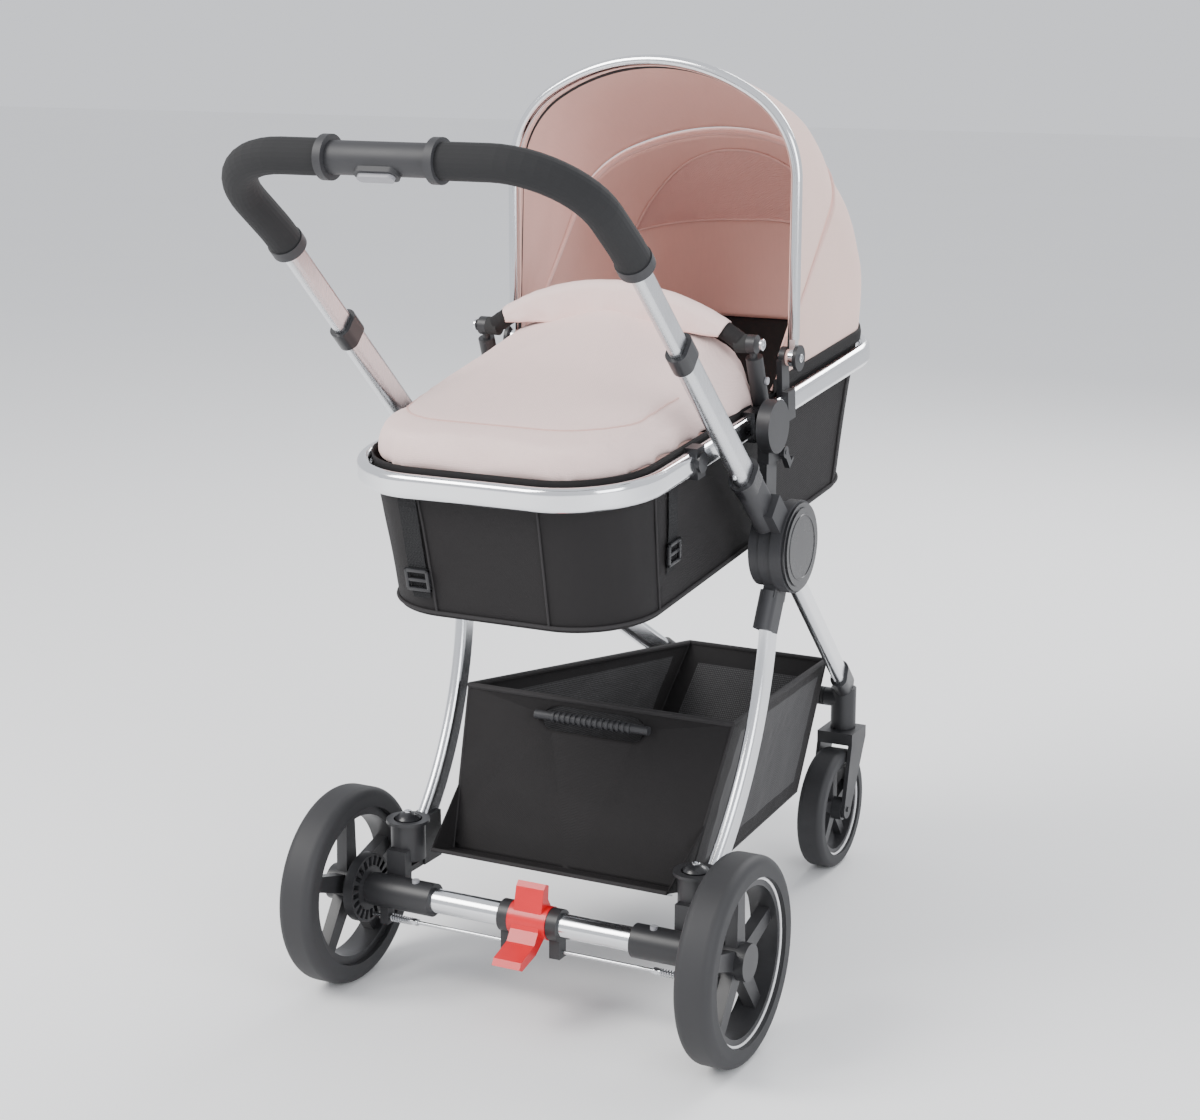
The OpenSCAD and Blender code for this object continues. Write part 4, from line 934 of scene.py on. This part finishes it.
def makeBasket():
    k = basketLook
    bm = bmesh.new()
    corner = {(n, s): basketCorner(n, s) for n in ("rearLow", "rearHigh", "frontLow", "frontHigh") for s in (1, -1)}
    edges = {n: (corner[n, -1], corner[n, 1]) for n in ("rearLow", "frontLow", "frontHigh")}
    sagging = patch(edges["rearLow"] + edges["frontLow"], Vector((0, 0, -k["sag"])))
    addSheet(bm, 60, 80, sagging, (0.34, 0.48))
    for s in (1, -1):
        ends = [corner[n, s] for n in ("rearLow", "frontLow", "rearHigh", "frontHigh")]
        addSheet(bm, 90, 44, patch(ends, Vector((-s * 5.0, 0, 0)), 1.2), (0.5, 0.2),
                 lambda a, b: 1 if 0.10 < a < 0.93 and 0.1 < b < 0.9 else 0)
    addSheet(bm, 50, 40, patch(edges["frontLow"] + edges["frontHigh"], Vector((0, -4.0, 0))), (0.24, 0.2),
             lambda a, b: 1 if 0.1 < a < 0.9 and 0.1 < b < 0.85 else 0)

    def rearPanel(a, b):
        # rings that run from the oval hand hole out to the panel's edges
        angle = math.tau * a
        low, high = corner["rearLow", 1], corner["rearHigh", 1]
        cz = high.z - k["holeDrop"]
        hx = (k["hole"][0] - k["hole"][1]) * (1 if math.cos(angle) >= 0 else -1) + k["hole"][1] * math.cos(angle)
        hz = cz + k["hole"][1] * math.sin(angle)
        dx, dz = math.cos(angle), math.sin(angle)
        reach = 1e9
        if dz > 1e-6:
            reach = min(reach, (high.z - cz) / dz)
        if dz < -1e-6:
            reach = min(reach, (low.z - cz) / dz)
        if abs(dx) > 1e-6:
            reach = min(reach, 196 / abs(dx))
        ex, ez = reach * dx, cz + reach * dz
        x, z = mix(hx, ex, b), mix(hz, ez, b)
        f = (z - low.z) / (high.z - low.z)
        limit = mix(low.x, high.x, f)
        x = max(-limit, min(limit, x))
        return fromAxle(x, mix(low.y, high.y, f) + 2.0 * math.sin(math.pi * f) * wobble(x * 0.02, z * 0.03), z)

    addSheet(bm, 160, 34, rearPanel, (0.6, 0.2))
    lip = [Vector((s * k["lip"][0], k["lip"][1], k["lip"][2])) for s in (-1, 1)]
    addSheet(bm, 60, 12, patch((*edges["rearLow"], *lip), Vector((0, 0, -3))), (0.34, 0.06))
    for s in (1, -1):
        upper = corner["rearLow", s].lerp(corner["rearHigh", s], 0.4)
        edge = lip[0] if s < 0 else lip[1]
        addSheet(bm, 12, 12, patch((corner["rearLow", s], edge, upper, upper), Vector((s, 0, 0)), 0.2), (0.06, 0.08))
    bmesh.ops.remove_doubles(bm, verts=bm.verts, dist=0.00004)
    bmesh.ops.recalc_face_normals(bm, faces=bm.faces)
    obj = makePiece(bm, "basketCloth", [blackCloth, netCloth], "chassis",
                    ("basket",), sharp=0, ride=False)
    thicken(obj, 0.0018, offset=0)
    bakeModifiers(obj)
    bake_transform(obj)
    trim = bmesh.new()
    turns = (("rearHigh", -1), ("rearHigh", 1), ("frontHigh", 1), ("frontHigh", -1), ("rearHigh", -1))
    rim = [corner[turn] for turn in turns]
    addTube(trim, [fromAxle(*p) for p in dense(rim, 8)], 0.0042)
    for s in (1, -1):
        addTube(trim, [fromAxle(*p) for p in dense([corner["rearLow", s], corner["rearHigh", s]], 8)], 0.0022)
        addTube(trim, [fromAxle(*p) for p in dense([corner["frontLow", s], corner["frontHigh", s]], 8)], 0.0022)
        addTube(trim, [fromAxle(*p) for p in dense([corner["rearLow", s], corner["frontLow", s]], 8)], 0.0020)
    addTube(trim, [fromAxle(*p) for p in dense([corner["frontLow", -1], corner["frontLow", 1]], 8)], 0.0020)
    addTube(trim, [fromAxle(*p) for p in dense(lip, 8)], 0.0026)
    piece = makePiece(trim, "basketPiping", [blackThread], "chassis", ride=False)
    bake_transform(piece)
    line = bmesh.new()
    inset = [end.lerp(low, 0.3) + Vector((0, -1, -3.6)) for end, low in zip(lip, edges["rearLow"])]
    addTube(line, [fromAxle(*p) for p in dense(inset, 8)], 0.0010)
    piece = makePiece(line, "basketStripe", [whiteLine], "chassis", ride=False)
    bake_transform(piece)


print("pram: basket")
makeBasket()


# Straps

strapLook = {"width": 25, "side": 112, "foot": 135, "buckle": (34, 30, 5)}


def addStrap(bm, top, across, down, out, length):
    k = strapLook

    def place(a, b):
        s = (a - 0.5) * k["width"]
        bend = 1.6 * math.sin(b * 5) * (b ** 1.5)
        return cotMatrix @ (top + across * s + down * (b * length) + out * (bend + 1.0))

    addSheet(bm, 6, 40, place, (0.025, length / 1000), 0)
    middle = top + down * (length - 26) + out * 3.2
    turn = Matrix((across, down, out)).transposed().to_4x4()
    base = cotMatrix @ Matrix.Translation(middle) @ turn
    w, h, d = k["buckle"]
    for x in (-1, 1):
        addBlock(bm, (5, h, d), base @ Matrix.Translation((x * (w / 2 - 2.5), 0, 0)), 1.4, 2, 1)
    for y in (-1, 0, 1):
        addBlock(bm, (w, 5, d if y else d - 1), base @ Matrix.Translation((0, y * (h / 2 - 2.5), 0)), 1.4, 2, 1)


def makeStraps():
    k = strapLook
    bm = bmesh.new()
    for s in (1, -1):
        slope = Vector((s * 11 / 200, 0, 1)).normalized()
        away = Vector((s, 0, -11 / 200)).normalized()
        addStrap(bm, Vector((s * 184.6, -214, -18.5)), Vector((0, s, 0)), -slope, away, k["side"])
    slope = Vector((0, -29 / 200, 1)).normalized()
    away = Vector((0, -1, -29 / 200)).normalized()
    addStrap(bm, Vector((-95, -365.4, -18.5)), Vector((1, 0, 0)), -slope, away, k["foot"])
    makePiece(bm, "strapsAndBuckles", [webbing, glossMoulding], "carrycot", ("straps",))


print("pram: straps")
makeStraps()


# Springs, rings and fixings

def addCoil(bm, start, direction, length, radius, wire, turns, index=0):
    z = direction.normalized()
    x = z.orthogonal().normalized()
    y = z.cross(x)
    count = turns * 22
    points = []
    for n in range(count + 1):
        f = n / count
        a = math.tau * turns * f
        pitch = min(1, max(0, (f - 0.06) / 0.88))
        points.append(start + z * (wire + (length - 2 * wire) * pitch) + (x * math.cos(a) + y * math.sin(a)) * radius)
    addTube(bm, points, wire, index=index, sides=2)


def makeSprings():
    for s, side in ((1, "Right"), (-1, "Left")):
        bm = bmesh.new()
        addCoil(bm, fromAxle(s * 182.2, 0, 96), Vector((s, 0, 0)), 0.0314, 0.0045, 0.00085, 9)
        coil = makePiece(bm, "brakeSpring" + side, [brightSteel], "rear_axle", ("axle_springs",))
        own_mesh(coil)
        bm = bmesh.new()
        addCoil(bm, fromAxle(s * 210, 40, 174.5), Vector((0, 0, 1)), 0.039, 0.0118, 0.0016, 6)
        coil = makePiece(bm, "suspensionSpring" + side, [brightSteel], "rear_axle")
        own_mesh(coil)


def ringOn(name, body, centre, s, radius, face, wide, material):
    bm = bmesh.new()
    at = Vector((s * face, centre.y, centre.z))
    inner = radius - wide
    profile = [(-0.001, inner), (0.0006, inner), (0.0012, radius - wide * 0.7), (0.0012, radius - wide * 0.3),
               (0.0006, radius), (-0.001, radius)]
    addSpin(bm, profile, at, (s, 0, 0), (0, 0, 1), 96)
    makePiece(bm, name, [material], body)


print("pram: springs and fixings")
makeSprings()
for side, s in (("left", -1), ("right", 1)):
    for which, radius, wide in (("rear", 0.1058, 0.0034), ("front", 0.0712, 0.0030)):
        tyreLow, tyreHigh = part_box(which + "_tyre_" + side)
        centre = (Vector(tyreLow) + Vector(tyreHigh)) / 2
        half = 0.0175 if which == "rear" else 0.0145
        face = abs(centre.x) + half + 0.0006
        ringOn(which + "Ring" + side.capitalize(), which + "_wheel_" + side, centre, s, radius, face, wide,
               whiteLine)


def makeFixings():
    arms = bmesh.new()
    legs = bmesh.new()
    cot = bmesh.new()
    axle = bmesh.new()
    chassis = bmesh.new()
    for s in (1, -1):
        out = Vector((s, 0, 0))
        cap = Vector(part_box("hub_caps")[1]).x
        at = Vector((s * (cap - 0.0002), foldPivot.y, foldPivot.z))
        addSpin(arms, [(0, 0.0400), (0.0009, 0.0405), (0.0009, 0.0425), (0, 0.0430)], at, out, (0, 0, 1), 72, 1)
        addScrew(legs, fromAxle(s * 210, 40, 231.4), (0, 0, 1), 0.0052, 0.0022)
        knob = Vector(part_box("hood_pivots")[1]).x
        addScrew(cot, Vector((s * (knob + 0.0006), *(onCot(0, 113, 61).yz))), out, 0.0058, 0.0024)
        post = Vector(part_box("bumper_posts")[1]).x
        addScrew(cot, Vector((s * (post + 0.0004), *(onCot(0, 12, 101).yz))), out, 0.0075, 0.0026)
        addScrew(chassis, Vector((s * 0.1365, 0, 0)) + fromAxle(0, 731, 266.8), (0, 0, 1), 0.0060, 0.0024)
        for x in (176.5, 217.5):
            made = bmesh.ops.create_cone(axle, cap_ends=True, segments=6, radius1=0.0052, radius2=0.0052,
                                         depth=0.0045)["verts"]
            bmesh.ops.transform(axle, matrix=facing(fromAxle(s * x, 0, 96), out), verts=made)
    makePiece(arms, "hubRings", [brightSteel, glossMoulding], "push_arms")
    makePiece(legs, "domeRivets", [brightSteel], "rear_legs")
    makePiece(cot, "cotScrews", [brightSteel], "carrycot")
    makePiece(axle, "rodNuts", [brightSteel], "rear_axle")
    makePiece(chassis, "castorScrews", [brightSteel], "chassis")


makeFixings()


# Floor, light and camera

print("pram: floor, light and camera")
bpy.ops.mesh.primitive_plane_add(size=40, location=(0, 0, 0))
floor = bpy.context.object
floor.name = "studioFloor"
floorMat, floorTree, floorShader = startMaterial("paleFloor", (0.93, 0.93, 0.93), 0.75)
floorTone = noiseAt(floorTree, coordinates(floorTree), 1.4, 3.0)
shadeBetween(floorTree, floorShader, floorTone, (0.92, 0.92, 0.92), (0.94, 0.94, 0.94))
floor.data.materials.append(floorMat)

world = bpy.data.worlds.new("studio")
bpy.context.scene.world = world
world.use_nodes = True
world.node_tree.nodes["Background"].inputs["Color"].default_value = (0.93, 0.95, 1.0, 1)
world.node_tree.nodes["Background"].inputs["Strength"].default_value = 1.0


def addLamp(name, place, target, size, power, colour=(1, 1, 1)):
    lamp = bpy.data.lights.new(name, "AREA")
    lamp.shape = "RECTANGLE"
    lamp.size, lamp.size_y = size
    lamp.energy = power
    lamp.color = colour
    obj = bpy.data.objects.new(name, lamp)
    obj.location = place
    obj.rotation_euler = (Vector(target) - Vector(place)).to_track_quat("-Z", "Y").to_euler()
    bpy.context.scene.collection.objects.link(obj)


addLamp("keyLamp", (-2.2, -2.6, 3.4), (0, 0, 0.6), (2.2, 2.2), 190, (1.0, 0.985, 0.96))
addLamp("fillLamp", (3.4, -1.8, 1.9), (0, 0, 0.6), (2.0, 2.4), 80, (0.96, 0.98, 1.0))
addLamp("backLamp", (0.6, 3.4, 2.8), (0, 0, 0.8), (2.6, 1.2), 105)

camera = bpy.data.cameras.new("viewCamera")
camera.sensor_width = 36
camera.lens = 69.96
holder = bpy.data.objects.new("viewCamera", camera)
bpy.context.scene.collection.objects.link(holder)
right, up, back = (Vector(v) for v in ((0.8904, 0.4551, 0.0), (-0.1063, 0.2080, 0.9723), (0.4425, -0.8658, 0.2336)))
holder.matrix_world = Matrix.Translation((1.3474, -2.66425, 1.2763)) @ Matrix((right, up, back)).transposed().to_4x4()
bpy.context.scene.camera = holder

print("pram: finishing")
